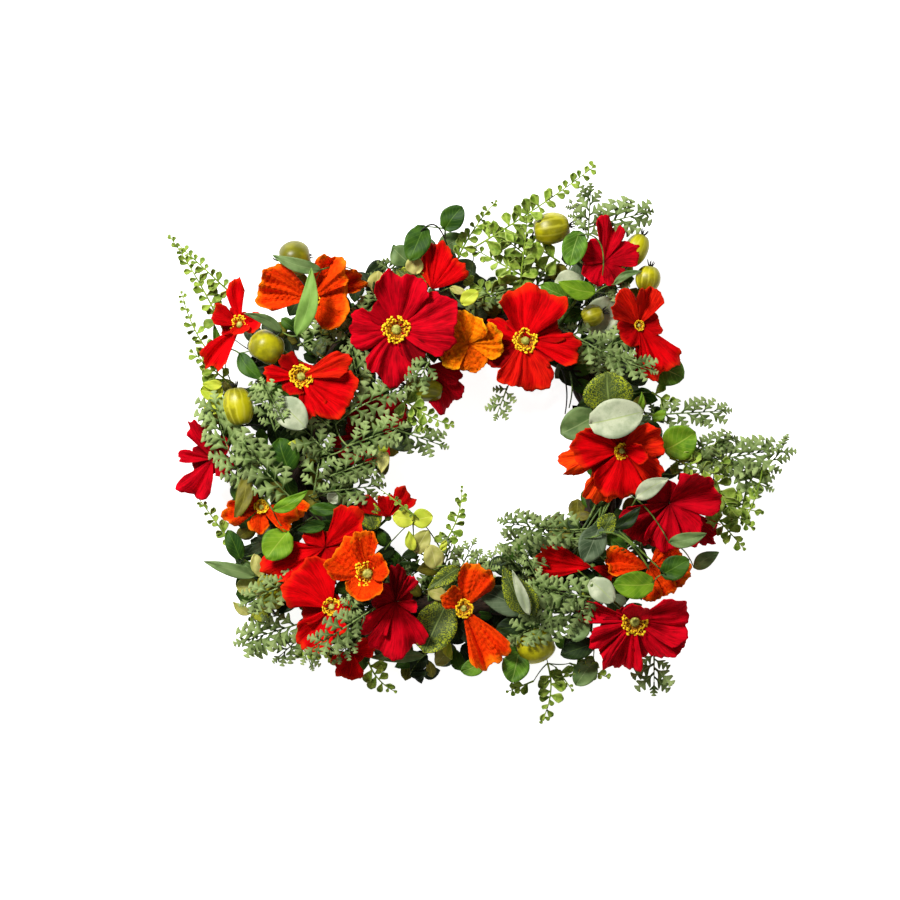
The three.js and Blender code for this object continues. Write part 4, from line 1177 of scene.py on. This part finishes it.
def broken_twig(numbers):
    """A short twig that sticks out of the ring."""
    angle = numbers.uniform(0, 360)
    start = ring_point(angle, numbers.uniform(8, 34)) * outwards(1 + numbers.uniform(-0.11, 0.11))
    along = ring_point(angle + numbers.choice((-90, 90)), 0) * (numbers.uniform(0.08, 0.2))
    end = start + along + (0, 0, numbers.uniform(-6, 8))
    end *= outwards(1 + numbers.uniform(-0.05, 0.05))
    end[2] = np.clip(end[2], 4, 37)
    middle = (start + end) / 2 + numbers.uniform(-4, 4, 3)
    return painted(stem([start, middle, end], numbers.uniform(0.8, 1.9), 0.5, 6, 8), bark())


def green_stem(numbers):
    """One of the green stems bundled on the right of the ring."""
    start, end = numbers.uniform(-42, -28), numbers.uniform(-14, 2)
    heights, away = numbers.uniform(30, 41, 2), 1 + numbers.uniform(-0.08, 0.06, 3)
    foot = ring_point(start, heights[0]) * outwards(away[0])
    bend = ring_point((start + end) / 2, 40) * outwards(1.02 * away[2])
    tip = ring_point(end, heights[1]) * outwards(away[1])
    return painted(stem([foot, bend, tip], 1.3, 1.0, 6, 10), plain_skin("leaf stalk"))


def vine_ring():
    """Long vines twisted round each other into a ring, with short broken twigs and some green stems."""
    numbers = seeded("vine_ring")
    parts = [vine(i, numbers) for i in range(VINES)]
    parts += [broken_twig(numbers) for _ in range(TWIGS)]
    parts += [green_stem(numbers) for _ in range(GREEN_STEMS)]
    finished(joined("vine_ring_twist", parts), "vine", "vine_ring")


# ---------------------------------------------------------------- sizes and colours a user may change


class WreathSizes(bpy.types.PropertyGroup):
    ring_radius: bpy.props.FloatProperty(
        name="Ring radius", description="Centre line of the vine ring", default=0.155, unit="LENGTH")
    bundle_radius: bpy.props.FloatProperty(
        name="Bundle radius", description="Half the thickness of the twisted vines", default=0.021, unit="LENGTH")
    ring_height: bpy.props.FloatProperty(
        name="Ring height", description="Height of the vines over the surface", default=0.036, unit="LENGTH")
    petal_thickness: bpy.props.FloatProperty(
        name="Petal thickness", description="Thickness of the silk", default=0.0005, unit="LENGTH")
    leaf_thickness: bpy.props.FloatProperty(
        name="Leaf thickness", description="Thickness of leaves and fronds", default=0.0006, unit="LENGTH")
    crimp: bpy.props.FloatProperty(
        name="Crimp", description="Height of the fine pleats in a petal", default=0.0005, unit="LENGTH")
    undergrowth_gap: bpy.props.FloatProperty(
        name="Undergrowth gap", description="Distance between the small leaves under the flowers",
        default=0.0135, min=0.008, max=0.05, unit="LENGTH")
    stamen_count: bpy.props.IntProperty(
        name="Stamens", description="Stamens in the heart of a full poppy", default=84, min=12, max=120)


class WreathColours(bpy.types.PropertyGroup):
    floor: bpy.props.FloatVectorProperty(
        name="Floor", description="Colour of the floor", subtype="COLOR", size=3, default=(0.7, 0.7, 0.7))


def wreath_sizes():
    return bpy.context.scene.wreath_sizes


# ---------------------------------------------------------------- operators


class WREATH_OT_ring(bpy.types.Operator):
    """Makes the twisted vine ring"""

    bl_idname = "wreath.ring"
    bl_label = "Vine ring"

    def execute(self, context):
        vine_ring()
        return {"FINISHED"}


class WREATH_OT_poppies(bpy.types.Operator):
    """Makes the silk poppies"""

    bl_idname = "wreath.poppies"
    bl_label = "Poppies"

    def execute(self, context):
        for name in POPPIES:
            poppy(name)
        return {"FINISHED"}


class WREATH_OT_fruit(bpy.types.Operator):
    """Makes the green apples and the gooseberries"""

    bl_idname = "wreath.fruit"
    bl_label = "Fruit"

    def execute(self, context):
        for name, rows in APPLES.items():
            fruit(name, rows, "apple")
        for name, rows in GOOSEBERRIES.items():
            fruit(name, rows, "gooseberry")
        return {"FINISHED"}


class WREATH_OT_leaves(bpy.types.Operator):
    """Makes the picks of leaves"""

    bl_idname = "wreath.leaves"
    bl_label = "Leaves"

    def execute(self, context):
        for name in LEAVES:
            leaf_pick(name)
        return {"FINISHED"}


class WREATH_OT_fronds(bpy.types.Operator):
    """Makes the dusty fronds"""

    bl_idname = "wreath.fronds"
    bl_label = "Dusty fronds"

    def execute(self, context):
        for name in FRONDS:
            frond_pick(name)
        return {"FINISHED"}


class WREATH_OT_ferns(bpy.types.Operator):
    """Makes the fern sprigs"""

    bl_idname = "wreath.ferns"
    bl_label = "Fern sprigs"

    def execute(self, context):
        for name in FERNS:
            fern_pick(name)
        return {"FINISHED"}


class WREATH_OT_undergrowth(bpy.types.Operator):
    """Fills the wreath under its flowers with small dark leaves, and adds the bare stalks and tendrils"""

    bl_idname = "wreath.undergrowth"
    bl_label = "Undergrowth"

    def execute(self, context):
        undergrowth()
        for name in CURLS:
            curl(name)
        return {"FINISHED"}


class WREATH_OT_stage(bpy.types.Operator):
    """Makes the floor, the lights and the camera"""

    bl_idname = "wreath.stage"
    bl_label = "Stage"

    def execute(self, context):
        stage(context.scene)
        return {"FINISHED"}


OPERATORS = (
    WREATH_OT_stage, WREATH_OT_ring, WREATH_OT_poppies, WREATH_OT_fruit, WREATH_OT_leaves, WREATH_OT_fronds,
    WREATH_OT_ferns, WREATH_OT_undergrowth,
)


class WREATH_PT_panel(bpy.types.Panel):
    """Lists the wreath's operators"""

    bl_idname = "WREATH_PT_panel"
    bl_label = "Poppy wreath"
    bl_space_type = "VIEW_3D"
    bl_region_type = "UI"
    bl_category = "Wreath"

    def draw(self, context):
        for operator in OPERATORS:
            self.layout.operator(operator.bl_idname)
        for group in (context.scene.wreath_sizes, context.scene.wreath_colours):
            for key in group.__annotations__:
                self.layout.prop(group, key)


LIGHTS = (  # name, place from the ring's middle, size, watts
    ("key", (-1.1, 1.3, 1.8), 0.6, 92.0),
    ("fill", (1.3, -0.7, 1.9), 1.4, 6.0),
)


def stage(scene):
    """A plain pale floor, soft studio light from the upper left, and the camera straight above."""
    bpy.ops.mesh.primitive_plane_add(size=12, location=(0, 0, -0.0008))
    floor = bpy.context.object
    floor.name = "floor"
    paint = Finish("floor paint", Roughness=0.9, Specular_IOR_Level=0.1, Emission_Strength=0.9)
    paint.shader.inputs["Emission Color"].default_value = (1, 1, 1, 1)
    colour = (*scene.wreath_colours.floor, 1.0)
    worn = (*(0.97 * c for c in scene.wreath_colours.floor), 1.0)
    floor.data.materials.append(paint.finish(paint.blend(paint.speckle(3.0) * 0.04, colour, worn)))

    centre = RING_CENTRE * MM
    for name, where, size, power in LIGHTS:
        spot = Vector(where) + Vector(centre)
        bpy.ops.object.light_add(type="AREA", radius=size, location=spot)
        lamp = bpy.context.object
        lamp.name = name
        lamp.data.energy = power
        lamp.data.size = size
        lamp.rotation_euler = (Vector(centre) - spot).to_track_quat("-Z", "Y").to_euler()
    world = bpy.data.worlds.new("studio")
    world.use_nodes = True
    background = world.node_tree.nodes["Background"]
    background.inputs["Color"].default_value = (1, 1, 1, 1)
    background.inputs["Strength"].default_value = 0.14
    scene.world = world

    eye = (centre[0] + CAMERA_SHIFT[0] * MM, centre[1] + CAMERA_SHIFT[1] * MM, CAMERA_HEIGHT)
    bpy.ops.object.camera_add(location=eye, rotation=(0, 0, 0))
    camera = bpy.context.object
    camera.data.lens = camera.data.sensor_width * (CAMERA_HEIGHT - FLOWER_LEVEL) / VIEW_WIDTH
    scene.camera = camera
    scene.view_settings.view_transform = "Standard"


CLASSES = (WreathSizes, WreathColours, *OPERATORS, WREATH_PT_panel)


def register():
    for made in CLASSES:
        bpy.utils.register_class(made)
    bpy.types.Scene.wreath_sizes = bpy.props.PointerProperty(type=WreathSizes)
    bpy.types.Scene.wreath_colours = bpy.props.PointerProperty(type=WreathColours)


def unregister():
    del bpy.types.Scene.wreath_sizes
    del bpy.types.Scene.wreath_colours
    for made in reversed(CLASSES):
        bpy.utils.unregister_class(made)


def main():
    register()
    for operator in OPERATORS:
        bpy.ops.object.select_all(action="DESELECT")
        getattr(bpy.ops.wreath, operator.bl_idname.split(".")[1])()


if __name__ == "__main__":
    main()
